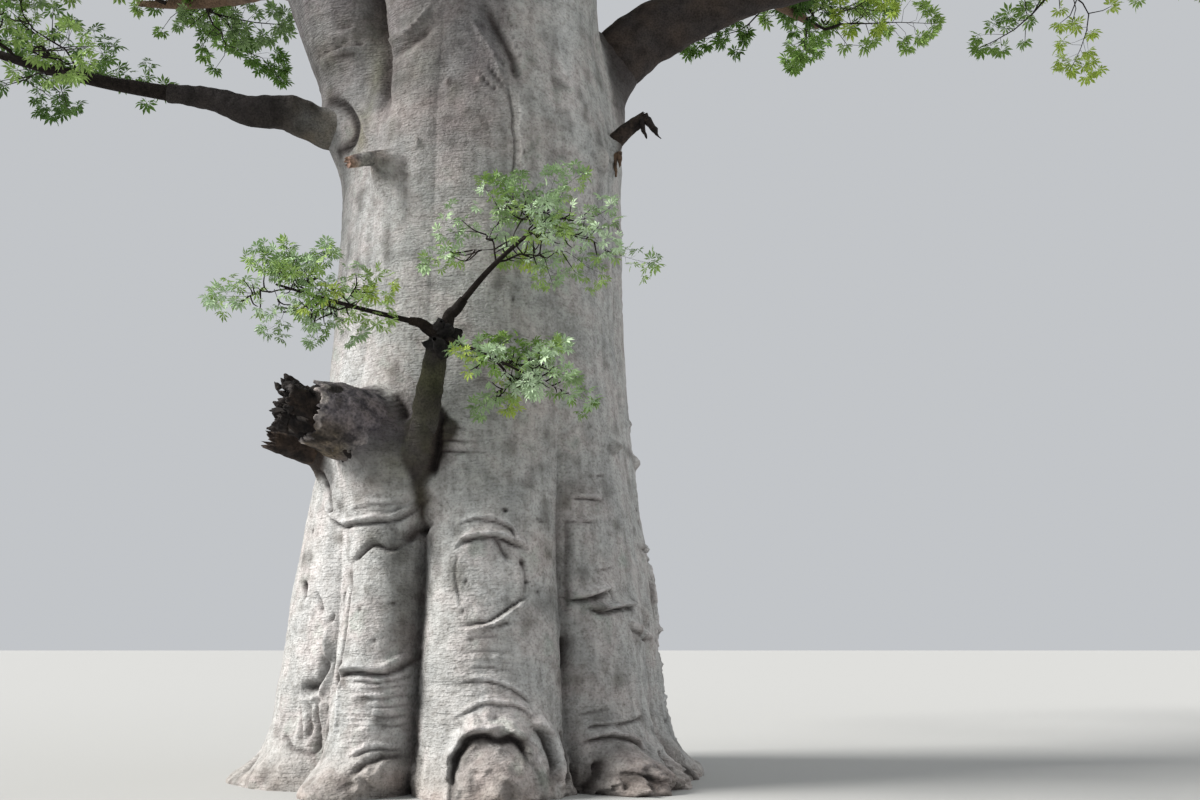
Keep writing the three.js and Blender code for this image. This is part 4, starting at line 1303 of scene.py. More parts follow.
def front_arch(skin):
    """The knobbly arch at the middle column's foot, overhanging the rough face that it frames."""
    bearing, top = on_trunk(495, 736)
    a = chart_place(bearing)
    low = -0.30
    wobble = noise(skin.chart, 0.15, 61)
    knobs = noise(skin.chart, 0.085, 63)
    tall = np.maximum(skin.b - low, 0) / (top - low)
    left = (np.abs(skin.a - a) / (0.28 + 0.24 * clamp(tall))) ** 2.6 + tall**2.6
    right = (np.abs(skin.a - a) / (0.40 + 0.06 * clamp(tall))) ** 2.2 + tall**2.2
    q = np.where(skin.a < a, left ** (1 / 2.6), right ** (1 / 2.2)) + 0.035 * wobble
    q = np.where(np.abs(skin.a - a) < 1.2, q, 9.0)
    rise = clamp((skin.b - low) / (top - low) / np.maximum(q, 0.3))
    roof = 0.25 + 0.75 * np.where(skin.a < a, smooth_step(rise, 0.30, 0.70), smooth_step(rise, 0.66, 0.95))
    skin.lift += (0.085 + 0.075 * knobs) * roof * bell((q - 1.09) / 0.075)
    skin.lift -= 0.12 * roof * bell((q - 0.985) / 0.045)
    inside = clamp(1 - (q / 0.96) ** 6)
    gnarls = 1 - np.abs(noise(skin.chart, (0.13, 0.10, 1.0), 65)) * 2.5
    skin.lift += inside * (-0.13 + 0.045 * wobble + 0.030 * knobs + 0.015 * gnarls)
    # Painted shade on the sunken face, deepest in the clefts between gnarls.
    skin.dark += inside * (0.26 + 0.35 * clamp(-gnarls))
    # Painted shadow under the overhanging rim.
    skin.dark += 1.5 * roof * bell((q - 0.98) / 0.050)
    skin.pale += 0.3 * bell((q - 1.14) / 0.07)
    skin.brown += 0.9 * inside


def oval_scar(skin):
    """The flat healed scar in the middle of the front."""
    bearing, z = on_trunk(487, 582)
    a = chart_place(bearing)
    q = np.hypot((skin.a - a) / 0.36, (skin.b - z) / 0.48)
    skin.lift -= 0.03 * clamp(1 - q**4)
    skin.pale += 0.22 * clamp(1 - q**2)


FAR_FOLDS = 150
FAR_LUMPS = 34


def wrap_chart(across):
    return (across / CHART_RADIUS + math.pi) % (2 * math.pi) * CHART_RADIUS - math.pi * CHART_RADIUS


def far_side_folds(skin):
    """The sides and the back get the same kinds of folds, lumps and scars by a seeded rule."""
    random = np.random.default_rng(2024)
    for _ in range(FAR_FOLDS):
        bearing = random.uniform(80, 262)
        z = random.choice([random.uniform(0.15, 3.6), random.uniform(0.2, 10.6)], p=[0.65, 0.35])
        length = random.uniform(0.15, 0.75)
        width = random.uniform(0.016, 0.036)
        bend = random.uniform(-0.12, 0.12)
        a = chart_place(bearing)
        kind = random.choice(["lip", "crease", "crease", "ridge"])
        course = [(a - length / 2, z), (a, z + bend), (a + length / 2, z + random.uniform(-0.1, 0.1))]
        if random.random() < 0.2:
            course = [(a, z + length / 2), (a + bend, z), (a, z - length / 2)]
        wrapped = [(wrap_chart(x), y) for x, y in course]
        if max(x for x, _ in wrapped) - min(x for x, _ in wrapped) < 2:
            skin.stroke(kind, width, width * random.uniform(0.9, 2.2), wrapped)
    for _ in range(FAR_LUMPS):
        bearing = wrap_degrees(random.uniform(104, 256))
        z = random.choice([random.uniform(0.0, 0.5), random.uniform(0.5, 10.0)], p=[0.6, 0.4])
        width = random.uniform(0.06, 0.17)
        skin.lump(bearing, z, width, width * random.uniform(0.5, 0.9))
    for bearing, z, wide, tall in BACK_SCARS:
        a = chart_place(wrap_degrees(bearing))
        q = np.hypot((skin.a - a) / wide, (skin.b - z) / tall)
        skin.lift += 0.06 * bell((q - 1.1) / 0.16) - 0.05 * bell((q - 0.9) / 0.08)
        # Painted shade in the cut round each scar.
        skin.dark += 0.7 * bell((q - 0.9) / 0.08)
        skin.pale += 0.3 * bell((q - 1.1) / 0.12)


def wrinkle_bands(skin):
    """Fine level wrinkles, strongest where a column is squeezed."""
    lines = noise(skin.chart, (0.55, 0.052, 1.0), 41) + 0.5 * noise(skin.chart, (0.30, 0.026, 1.0), 42)
    ridged = 1 - np.abs(lines)
    amount = np.full(len(skin.z), 0.0035)
    for u, v, wide, tall, extra in WRINKLED:
        amount += extra * skin.spread(*on_trunk(u, v), wide, tall)
    back = np.abs(skin.across) > chart_place(78)
    amount += np.where(back, 0.010 * clamp(noise(skin.chart, 0.9, 43)), 0.0)
    skin.lift += amount * (ridged - 0.6) * 1.6
    # Painted shade in the wrinkles' troughs.
    skin.dark += 9.0 * amount * clamp(0.35 - ridged)


# The swell, in metres, over which the trunk's bark turns into each limb's
COLLAR_TINTS = {
    "broken_stump": (0.01, 0.16),
    "lower_snag": (0.02, 0.14),
    "front_bough": (0.00, 0.08),
    "left_low_bough": (0.01, 0.10),
    "right_bough": (0.02, 0.10),
    "low_stub": (0.04, 0.14),
    "dead_branch": (0.05, 0.20),
}


def front_relief(skin):
    """The folds, lumps and pits that the reference view shows, and the forms that frame them."""
    for kind, width, height, course in FRONT_FOLDS:
        places = [on_trunk(u, v) for u, v in course]
        skin.stroke(kind, width, height, [(chart_place(b), h) for b, h in places])
    for u, v, width, rise in FRONT_LUMPS:
        skin.lump(*on_trunk(u, v), width, rise)
    for u, v, width in FRONT_PITS:
        skin.pit(*on_trunk(u, v), width)
    front_arch(skin)
    oval_scar(skin)
    far_side_folds(skin)
    wrinkle_bands(skin)


def burrs(places, size, seed, sharpness=2.4):
    """Rounded knots with sharp clefts between them, 1 at the top of each."""
    return 1 - np.abs(noise(places, size, seed)) * sharpness


def rough_bark(skin, bearing, z, places):
    """Uneven bark all over, more so near the ground, with knotty burls round the foot."""
    low = 1 - smooth_step(z, 0.3, 3.2)
    skin.lift += 0.030 * rough_noise(places, 0.55, 3) * (0.5 + low)
    skin.lift += 0.010 * rough_noise(places, (0.13, 0.13, 0.18), 9) * (0.7 + 0.8 * low)
    dents = skin.patch("brown", *on_trunk(312, 690), 0.42, 0.75, 0.10)
    skin.lift += dents * 0.075 * rough_noise(places, (0.16, 0.16, 0.34), 21)
    burl = skin.patch("brown", *on_trunk(388, 776), 0.34, 0.26, 0.45)
    skin.lift += burl * (0.075 * rough_noise(places, 0.13, 28) + 0.04 * burrs(places, 0.16, 29))
    feet = bell(z / 0.42) * bell(wrap_degrees(bearing - 55) / 28, 4)
    burr = burrs(places, (0.26, 0.26, 0.18), 23)
    knots = burrs(places, (0.12, 0.12, 0.09), 27)
    skin.lift += feet * (0.110 * burr + 0.060 * knots + 0.055 * rough_noise(places, 0.08, 24))
    # Painted shade in the clefts between the knots.
    skin.dark += feet * (1.0 * clamp(-burr) + 0.8 * clamp(-knots))
    around = bell(z / 0.34) * smooth_step(np.abs(wrap_degrees(bearing)), 70, 90)
    burr = burrs(places, 0.30, 26, 2.2)
    skin.lift += around * (0.060 * burr + 0.035 * rough_noise(places, 0.13, 25))
    # Painted shade in the clefts between the burrs.
    skin.dark += around * 0.7 * clamp(-burr)


def painted_groove_shade(bearing, z, radius):
    """How deep a place lies in a groove between two columns, which sets how much shade is painted into its
    colour.
    """
    groove_shade = np.zeros(len(z))
    for groove in GROOVES:
        aside = np.radians(np.abs(wrap_degrees(bearing - groove[0]))) * radius
        share = groove_depth(groove, z) / 0.5
        groove_shade += bell(aside / 0.10) * share
    return groove_shade


def stains_and_painted_light(skin, bearing, z, places, swells):
    """The bark's colour before the shade painted into its creases: pale, slate, pink, moss and brown over
    grey, with painted shade of the crown on the upper trunk and painted light on some columns.
    """
    for layer, u, v, *shape in FRONT_PATCHES:
        skin.patch(layer, *on_trunk(u, v), *shape)
    char = skin.patch("slate", *on_trunk(372, 436), 0.36, 0.36, 0.9)
    skin.moss += 0.5 * smooth_step(swells["front_bough"], 0.05, 0.30)
    # Painted shade of the crown: the front and left of the upper trunk turn slate with height.
    front = smooth_step(bearing, -112, -78) * (1 - smooth_step(bearing, 8, 22))
    skin.slate += 0.85 * front * smooth_step(z, 6.4, 9.2)
    colour = np.tile(BARK_GREY, (len(z), 1))
    colour = mix(colour, BARK_PALE, clamp(skin.pale) * 0.75)
    mottle = 0.85 + 0.3 * rough_noise(places, 0.2, 39)
    colour = mix(colour, BARK_SLATE, 0.85 * clamp(skin.slate) * mottle)
    colour = mix(colour, BARK_SLATE * 0.60, 0.85 * char * (0.9 + 0.4 * rough_noise(places, 0.16, 40)))
    colour = mix(colour, BARK_PINK, 0.25 * clamp(rough_noise(places, 0.9, 31)) + 0.40 * skin.brown)
    colour = mix(colour, BARK_MOSS, 0.62 * skin.moss * (0.6 + 0.4 * rough_noise(places, 0.12, 33)))
    soil = 0.42 * bell(z / 0.30)
    colour = mix(colour, BARK_BROWN, soil * (0.6 + 0.5 * rough_noise(places, 0.2, 35)))
    for name, (low, high) in COLLAR_TINTS.items():
        amount = smooth_step(swells[name] + 0.04 * noise(places, 0.2, 75), low, high)
        share = np.full(len(z), 0.45 if name == "front_bough" else 0.1)
        colour = mix(colour, limb_colour(name, places, share), amount)
    return colour


def trunk_skin(bearing, z):
    """Relief in metres and colour at places of the trunk."""
    skin = Skin(bearing, z)
    front_relief(skin)
    radius = trunk_radius(bearing, z)
    places = around_axis(bearing, radius, z)
    rough_bark(skin, bearing, z, places)
    bare = bare_radius(bearing, z)
    swells = {name: with_collars(bare, bearing, z, name) - bare for name in COLLARS}
    colour = stains_and_painted_light(skin, bearing, z, places, swells)
    # Painted shade in the grooves between the columns, darker the deeper the groove.
    groove_shade = clamp(painted_groove_shade(bearing, z, radius))
    colour = mix(colour, PAINTED_BARK_SHADE, 0.62 * groove_shade * (0.8 + 0.3 * rough_noise(places, 0.15, 37)))
    # Painted shade along the cracks and the front bough's cast shadow.
    for crack in PAINTED_SHADE_LINES:
        paint_shade_line(skin, places, *crack)
    # Painted shade in creases, pits, clefts, undercuts and under lumps, the deepest of it near black.
    colour = mix(colour, PAINTED_BARK_SHADE, 0.85 * clamp(skin.dark))
    colour = mix(colour, BLACK_WOOD * 0.5, 0.8 * clamp(skin.dark - 0.8))
    # The dark bough's bark runs down the trunk's right edge.
    edge = on_trunk(604, 60)[0]
    behind = smooth_step(bearing, edge - 3, edge + 7) * (1 - smooth_step(bearing, 105, 150))
    colour = mix(colour, CHARCOAL, 0.9 * behind * bell((z - 9.6) / 1.05, 4))
    return skin.lift, colour


def paint_shade_line(skin, places, width, amount, course):
    """Paints shade on the bark along a crack or a cast shadow that shows on this course of the reference
    view.
    """
    points = []
    for u, v in course:
        bearing, z = on_trunk(u, v)
        points.append(stand(bearing, float(trunk_radius(np.array([bearing]), np.array([z]))[0]), z))
    points = np.array(points)
    found = np.nonzero(np.linalg.norm(places - points.mean(0), axis=1) < 1.2)[0]
    nearest = np.full(len(found), 9.0)
    for start, end in zip(points[:-1], points[1:]):
        run = end - start
        t = clamp((places[found] - start) @ run / (run @ run))
        nearest = np.minimum(nearest, np.linalg.norm(places[found] - start - t[:, None] * run, axis=1))
    skin.dark[found] += amount * bell(nearest / width)


def spaced(parts):
    """Numbers from one to the next of the given stops, each stretch cut into its count."""
    values = []
    for (start, count), (end, _) in zip(parts[:-1], parts[1:]):
        values.extend(start + (end - start) * i / count for i in range(count))
    return np.array(values)


# Where the bark's grid of places changes its pace: a stop, and the places from it to the next one
BARK_COLUMNS = [(-95, 400), (90, 110), (265, 0)]
BARK_ROWS = [(0.0, 66), (1.2, 120), (4.2, 118), (FORK_HEIGHT, 0)]
# The dome that closes the top between the forks: share of the rim, height over it
DOME = ((0.88, 0.10), (0.75, 0.17), (0.5, 0.21), (0.25, 0.23), (0.02, 0.23))


def trunk_pieces(material):
    """The bark in two pieces, a lower and an upper one, that share one row of places and their normals."""
    share = 1.0
    bearings = spaced([(stop, int(count * share)) for stop, count in BARK_COLUMNS])
    heights = np.append(spaced([(stop, int(count * share)) for stop, count in BARK_ROWS]), FORK_HEIGHT)
    rows, columns = len(heights), len(bearings)
    z, bearing = [g.ravel() for g in np.meshgrid(heights, bearings, indexing="ij")]
    bearing = wrap_degrees(bearing)
    lift, colour = trunk_skin(bearing, z)
    radius = trunk_radius(bearing, z)
    top = smooth_step(z, FORK_HEIGHT - 0.5, FORK_HEIGHT)
    radius = radius + lift * (1 - 0.7 * top)
    places = around_axis(bearing, radius, z)
    rim = places[-columns:]
    dome = [rim * [share, share, 0] + [0, 0, FORK_HEIGHT + rise] for share, rise in DOME]
    places = np.concatenate([places, *dome])
    colour = np.concatenate([colour] + [colour[-columns:]] * len(dome))
    rows += len(dome)
    quads = tube_quads(rows, columns)
    grid = places.reshape(rows, columns, 3)
    around = np.roll(grid, -1, 1) - np.roll(grid, 1, 1)
    upward = np.gradient(grid, axis=0)
    normals = np.cross(around, upward).reshape(-1, 3)
    lengths = np.linalg.norm(normals, axis=1)
    normals /= np.where(lengths > 1e-9, lengths, 1.0)[:, None]
    split = len(heights) // 2
    for name, first, last in (("TrunkBarkLower", 0, split), ("TrunkBarkUpper", split, rows - 1)):
        pile = Pile()
        keep = slice(first * columns, (last + 1) * columns)
        mine = quads.reshape(rows - 1, columns, 4)[first:last].reshape(-1, 4) - first * columns
        pile.add(places[keep], mine, None, colour[keep])
        shading = normals[keep]
        if first == 0:
            # The flat cut at the ground.
            cut = np.concatenate([places[:columns], [[0.0, 0.0, 0.0]]])
            fan = [[(s + 1) % columns, s, columns] for s in range(columns)]
            pile.add(cut, None, fan, np.tile(BARK_BROWN, (columns + 1, 1)))
            shading = np.concatenate([shading, np.tile([0.0, 0.0, -1.0], (columns + 1, 1))])
        piece = pile.build(name, material, normals=shading)
        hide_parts("trunk")


# Boughs

FOOT_SWELL = {"left_low_bough": 0.20, "front_bough": 0.08}
FORK_SWELL = 0.16
SWELL_REACH = 0.3  # share of a limb over which its foot's swell fades
DETAILED = ("left_low_bough", "right_bough", "front_bough")


def tube_detail(name, radius):
    """Sides of a limb's tube, and its rings for each piece of the limb's line."""
    if radius > 0.6 or name in DETAILED:
        return 30, 12
    return (20, 7) if radius > 0.2 else (14, 6)


def bough_pieces(material):
    """Every living limb as a relief tube in one piece."""
    pile = Pile()
    names = []
    for name, (points, radii) in limbs.items():
        if name in DEAD_LIMBS:
            continue
        names.append(name)
        sides, rings = tube_detail(name, radii[0])
        centres, sizes = refine(points, radii, rings)
        shares = np.linspace(0, 1, len(sizes))
        fading = np.exp(-shares / SWELL_REACH)
        sizes = sizes * (1 + FOOT_SWELL.get(name, 0.0) * fading)
        if name.endswith("_fork"):
            sizes = sizes * (1 + FORK_SWELL * fading * smooth_step(shares, 0.03, 0.13))
        if name == "left_low_bough":
            centres, sizes = centres[shares > 0.03], sizes[shares > 0.03]
        elif name in COLLARS:
            until = COLLARS[name][0]
            sizes = sizes * (0.62 + 0.38 * smooth_step(shares, 0.6 * until, 1.2 * until))
            centres, sizes = centres[shares > 0.5 * until], sizes[shares > 0.5 * until]
        grid, outward = tube_grid(centres, sizes, sides)
        flat = grid.reshape(-1, 3)
        share = np.repeat(np.linspace(0, 1, len(centres)), sides)
        spread = np.repeat(sizes, sides)
        relief = 0.10 * spread * rough_noise(flat, 0.9 * max(radii[0], 0.15), 51)
        relief += 0.012 * min(1.0, radii[0] / 0.3) * rough_noise(flat, 0.16, 53)
        along = np.stack([share * 0, share * 0, share * len(points) * 6], 1)
        relief += 0.010 * min(1.0, radii[0] / 0.5) * noise(along, 1.0, 55)
        flat = flat + outward.reshape(-1, 3) * relief[:, None]
        pile.add(flat, tube_quads(len(centres), sides), None, limb_colour(name, flat, share))
    piece = pile.build("BoughBark", material)
    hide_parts(*names)


# Dead wood


def broken_limb(pile, name, sides, rings, jag, colour_of, hollow=0.55):
    """A limb that ends in a ragged break: its rim stands up in splinters round a hollowed end."""
    points, radii = limbs[name]
    centres, sizes = refine(points, radii, rings)
    grid, outward = tube_grid(centres, sizes, sides)
    direction = heading(limbs[name])
    flat = grid.reshape(-1, 3)
    share = np.repeat(np.linspace(0, 1, len(centres)), sides)
    relief = 0.09 * np.repeat(sizes, sides) * rough_noise(flat, 0.6 * radii[0], 81)
    relief += 0.035 * radii[0] / 0.5 * rough_noise(flat, 0.11, 83) * (0.4 + share)
    flat = flat + outward.reshape(-1, 3) * relief[:, None]
    turns = ring_turns(sides)
    teeth = noise(np.stack([np.cos(turns) * 2.2, np.sin(turns) * 2.2, turns * 0], 1), 0.42, 85)
    teeth += 0.6 * noise(np.stack([np.cos(turns) * 5, np.sin(turns) * 5, turns * 0], 1), 0.40, 87)
    # The last rings are pulled back or forward along the limb, so that the rim is ragged.
    for k in range(3):
        row = slice(len(flat) - (k + 1) * sides, len(flat) - k * sides)
        flat[row] += direction * (np.clip(teeth, -1.2, 0.55) * jag * (1 - k / 3))[:, None]
    rim = flat[-sides:]
    centre = centres[-1]
    inner = []
    for step, (shrink, sink) in enumerate(((0.88, 0.06), (0.70, 0.35), (0.45, 0.62), (0.18, 0.78))):
        ring = centre + (rim - centre) * shrink - direction * sink * hollow * radii[-1] * 2
        rough = np.stack([noise(ring, 0.07, seed + step) for seed in (91, 95, 99)], 1)
        inner.append(ring + 0.05 * radii[-1] * rough)
    flat = np.concatenate([flat, *inner, [centre - direction * 0.8 * hollow * radii[-1] * 2]])
    rows = len(centres) + len(inner)
    end = (rows - 1) * sides
    fan = [[end + s, end + (s + 1) % sides, len(flat) - 1] for s in range(sides)]
    share = np.concatenate([share, np.full(len(flat) - len(share), 1.3)])
    pile.add(flat, tube_quads(rows, sides), fan, colour_of(flat, share))


def stump_rows(first, last, rows, sides):
    """Rings of the stump's line whose last one runs ragged, with each place's share of the line."""
    points, radii = limbs["broken_stump"]
    centres, sizes = refine(points, radii, 16)
    side, over = ring_frames(centres)
    turns = ring_turns(sides)
    ragged = np.stack([np.cos(turns), np.sin(turns), turns * 0], 1)
    teeth = 0.060 * noise(ragged, 0.75, 121) + 0.035 * noise(ragged, 0.22, 123)
    teeth += 0.02 * noise(ragged, 0.08, 125)
    step = np.linspace(0, 1, rows)[:, None]
    share = first + (last + teeth[None, :] - first) * step
    exact = np.clip(share, 0, 0.9999) * (len(centres) - 1)
    low = exact.astype(int)
    part = (exact - low)[..., None]
    spot = centres[low] * (1 - part) + centres[low + 1] * part
    past = np.maximum(share - 1, 0)[..., None] * 1.6
    spot = spot + heading(limbs["broken_stump"]) * past
    size = (sizes[low] * (1 - part[..., 0]) + sizes[low + 1] * part[..., 0])[..., None]
    outward = side[low] * np.cos(turns)[None, :, None] + over[low] * np.sin(turns)[None, :, None]
    return spot, size, outward, share


STUMP_SIDES = 132
SHELL_ROWS = 54
CORE_ROWS = 46
SPLINTERS = 30


def stump(pile):
    """What is left of a great limb: grey bark out to a ragged rim, and a charred, eaten core beyond it."""
    stump_shell(pile)
    stump_core(pile)
    stump_splinters(pile, heading(limbs["broken_stump"]))


def stump_shell(pile):
    """The grey bark and its ragged rim, turned in behind the rim."""
    sides = STUMP_SIDES
    spot, size, outward, share = stump_rows(0.34, 0.85, SHELL_ROWS, sides)
    size = size * (0.84 + 0.16 * smooth_step(share, 0.38, 0.58)[..., None])
    flat = (spot + outward * size).reshape(-1, 3)
    relief = 0.050 * rough_noise(flat, 0.34, 81) + 0.016 * rough_noise(flat, 0.09, 83)
    flat = flat + outward.reshape(-1, 3) * relief[:, None]
    grid = flat.reshape(SHELL_ROWS, sides, 3)
    lip = spot[-1] + (grid[-1] - spot[-1]) * 0.90
    inner = spot[-12] + (grid[-12] - spot[-12]) * 0.80
    grid = np.concatenate([grid, lip[None], inner[None]])
    amount = share.reshape(-1)
    edge = np.tile(share[-1], SHELL_ROWS) - amount
    flat = grid.reshape(-1, 3)
    mottle = rough_noise(flat, 0.22, 111)
    amount = np.concatenate([amount, np.full(2 * sides, 0.9)])
    edge = np.concatenate([edge, np.zeros(2 * sides)])
    down = np.concatenate([-outward[..., 2].reshape(-1), np.zeros(2 * sides)])
    colour = limb_colour("broken_stump", flat, amount) * 1.55
    # The downward-facing side turns olive-brown and darker: moss, and painted shade under the stump.
    moss_and_underside_shade = smooth_step(down, 0.0, 0.8) * smooth_step(amount, 0.5, 0.75)
    colour = mix(colour, MOSS_AND_SHADE_WOOD, moss_and_underside_shade * (0.75 + 0.5 * mottle))
    # The upward-facing side near the trunk turns paler and pinker.
    upward_pale = smooth_step(-down, 0.5, 0.95) * (1 - smooth_step(amount, 0.3, 0.5))
    colour = mix(colour, PINK_WOOD, upward_pale * 0.5)
    colour = mix(colour, BLACK_WOOD * 0.8, (edge < 0.10) * clamp(0.3 + 1.6 * noise(flat, 0.13, 115)))
    colour = mix(colour, PALE_WOOD, (edge < 0.035) * clamp(0.7 + 1.3 * noise(flat, 0.10, 117)))
    pile.add(flat, tube_quads(len(grid), sides), None, colour)


def stump_core(pile):
    """The charred wood inside the rim, wasted away and eaten into."""
    sides = STUMP_SIDES
    spot, size, outward, share = stump_rows(0.55, 1.00, CORE_ROWS, sides)
    wasted = 0.90 - 0.16 * smooth_step(share, 0.72, 1.02)[..., None]
    flat = (spot + outward * size * wasted).reshape(-1, 3)
    eaten = 0.085 * rough_noise(flat, 0.26, 131) + 0.045 * rough_noise(flat, 0.10, 133)
    eaten -= 0.070 * clamp(1 - np.abs(noise(flat, 0.20, 135)) * 4)
    flat = flat + outward.reshape(-1, 3) * eaten[:, None]
    grid = flat.reshape(CORE_ROWS, sides, 3)
    direction = heading(limbs["broken_stump"])
    rows = [grid]
    for shrink, sink in ((0.93, -0.02), (0.82, 0.02), (0.66, 0.07), (0.48, 0.13), (0.30, 0.17), (0.12, 0.19)):
        ring = spot[-1] + (grid[-1] - spot[-1]) * shrink - direction * sink
        ring = ring + direction * (0.055 * rough_noise(ring, 0.12, 137))[:, None]
        rows.append(ring[None])
    grid = np.concatenate(rows)
    flat = grid.reshape(-1, 3)
    colour = np.tile(BLACK_WOOD * 0.62, (len(flat), 1))
    colour = mix(colour, BROWN_WOOD * 0.7, 0.02 + 0.35 * rough_noise(flat, 0.14, 139))
    colour = mix(colour, PALE_WOOD, 0.35 * (noise(flat, 0.11, 141) > 0.62))
    pile.add(flat, tube_quads(len(grid), sides), None, colour)


def stump_splinters(pile, direction):
    """Splinters round the stump's core, and three long ones on top."""
    random = seeded(7)
    end = limbs["broken_stump"][0][-1]
    radius = limbs["broken_stump"][1][-1]
    for i in range(SPLINTERS):
        turn = 2 * math.pi * (i + 0.7 * random()) / SPLINTERS
        start = end + sideways(direction, turn) * radius * (0.45 + 0.35 * random()) - direction * 0.10
        lean = unit(direction * 0.8 + vec(-0.3, -0.1, 0.5) * random() + sideways(direction, turn) * 0.35)
        length, radius_here = 0.08 + 0.10 * random(), 0.035 + 0.035 * random()
        splinter(pile, start, lean, length, radius_here, 400 + i, BLACK_WOOD * 0.7)
    for k, length in enumerate((0.20, 0.15, 0.12)):
        start = end + vec(0.06 - 0.10 * k, -0.05 + 0.06 * k, 0.20) - direction * 0.1
        splinter(pile, start, vec(-0.55, -0.05, 0.7), length, 0.06 - 0.01 * k, 440 + k, BLACK_WOOD * 0.7)


def black_colour(places, share):
    mottle = rough_noise(places, 0.12, 117)
    return mix(np.tile(BLACK_WOOD, (len(places), 1)), BROWN_WOOD, 0.15 + 0.35 * mottle)


def stub_colour(places, share):
    mottle = rough_noise(places, 0.10, 119)
    colour = mix(np.tile(STUB_WOOD, (len(places), 1)), BARK_BROWN * 0.7, 0.2 + 0.5 * mottle)
    return mix(limb_colour("low_stub", places, share), colour, smooth_step(share, 0.78, 1.0))


def splinter(pile, start, direction, length, radius, seed, tint):
    """One pointed, slightly twisted strip of torn wood."""
    random = seeded(seed)
    points = [start]
    for _ in range(5):
        kick = vec(random() - 0.5, random() - 0.5, random() - 0.5) * 0.5
        points.append(points[-1] + unit(direction + kick) * length / 5)
    radii = radius * np.array([1.0, 0.95, 0.8, 0.7, 0.45, 0.12])
    centres, sizes = refine(np.array(points), radii, 2)
    grid, outward = tube_grid(centres, sizes, 7)
    flat = grid.reshape(-1, 3)
    flat = flat + outward.reshape(-1, 3) * (0.3 * radius * noise(flat, 0.05, seed))[:, None]
    pile.add(flat, tube_quads(len(centres), 7), None, tint)


def dead_wood_piece(material):
    pile = Pile()
    stump(pile)
    broken_limb(pile, "lower_snag", 40, 10, 0.09, black_colour)
    broken_limb(pile, "low_stub", 26, 7, 0.03, stub_colour, hollow=0.2)
    broken_limb(pile, "dead_branch", 26, 8, 0.05, black_colour)
    dead_end = limbs["dead_branch"][0][-1]
    splinter(pile, dead_end + vec(-0.02, 0, 0.02), vec(0.55, -0.1, -0.85), 0.42, 0.06, 451, BLACK_WOOD)
    splinter(pile, dead_end + vec(-0.06, -0.02, -0.03), vec(0.35, 0.0, -0.9), 0.30, 0.045, 452, BLACK_WOOD)
    dead_root = limbs["dead_branch"][0][1]
    for k, (aside, length) in enumerate(((0.0, 0.42), (0.09, 0.34), (-0.08, 0.28), (0.16, 0.22))):
        start = dead_root + vec(0.10 + aside, -0.12, -0.02)
        splinter(pile, start, vec(0.05, -0.02, -1.0), length, 0.045, 461 + k, BROWN_WOOD * 0.8)
    knob = limbs["front_bough"][0][-1]
    for k in range(9):
        turn = sideways(vec(0, 0, 1), k * 0.72)
        start = knob + turn * 0.03 + vec(0.01 * k, 0, 0.08 - 0.035 * k)
        lean = unit(turn + vec(0.1, 0, 0.35))
        splinter(pile, start, lean, 0.17 + 0.015 * k, 0.105, 481 + k, CHARCOAL * 0.3)
    piece = pile.build("DeadWood", material)
    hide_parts("broken_stump", "lower_snag", "low_stub", "dead_branch")


# Foliage


def leaf_template(simple):
    """A palmate leaf at the origin, pointing along +X with its face up: five folded leaflets."""
    places, triangles = [], []
    for turn, length in ((-74, 0.66), (-38, 0.88), (0, 1.0), (38, 0.88), (74, 0.66)):
        a = math.radians(turn)
        along, across = vec(math.cos(a), math.sin(a), 0), vec(-math.sin(a), math.cos(a), 0)
        first = len(places)
        middle = along * 0.60 * length + vec(0, 0, -0.035)
        places += [
            along * 0.05,
            along * 0.60 * length + across * 0.145 * length + vec(0, 0, 0.020),
            along * length + vec(0, 0, -0.16 * length),
            along * 0.60 * length - across * 0.145 * length + vec(0, 0, 0.020),
            middle,
        ]
        if simple:
            places.pop()
            triangles += [[first, first + 3, first + 2], [first, first + 2, first + 1]]
        else:
            triangles += [
                [first, first + 4, first + 1], [first + 1, first + 4, first + 2],
                [first + 2, first + 4, first + 3], [first + 3, first + 4, first],
            ]
    return np.array(places), np.array(triangles)


LEAF_COLOURS = [
    srgb(148, 176, 98),
    srgb(122, 154, 76),
    srgb(100, 134, 62),
    srgb(80, 112, 50),
    # Partly the front leaves' pale green, partly their bluish sheen painted in.
    srgb(160, 186, 140),
    srgb(172, 194, 88),
    # A painted highlight: the sheen on the front leaves.
    srgb(184, 206, 170),
    srgb(132, 158, 106),
]


class Foliage:
    """Collects every leaf by kind and colour and every twig, and deals the colours out by spray."""

    def __init__(self):
        self.leaves = {"fine": [[] for _ in LEAF_COLOURS], "plain": [[] for _ in LEAF_COLOURS]}
        self.twigs = Pile()
        self.random = np.random.default_rng(77)

    def cluster(self, kind, tone, place, axis, count, size, droop):
        """Leaves stand round a twig's end like the fingers of a loose fist."""
        spin = self.random.uniform(0, 2 * math.pi)
        for k in range(count):
            turn = spin + k * 2.4
            lean = self.random.uniform(0.45, 1.0)
            hang = vec(0, 0, -droop * self.random.uniform(0.2, 1.0))
            forward = unit(axis * (1.1 - lean) + sideways(axis, turn) * lean + hang)
            root = place - axis * size * 0.35 * (k / max(count, 1)) + forward * size * 0.25
            up = unit(vec(0, 0, 1) + self.random.normal(0, 0.45, 3))
            self.leaves[kind][tone].append((root, forward, up, size * self.random.uniform(0.75, 1.15)))


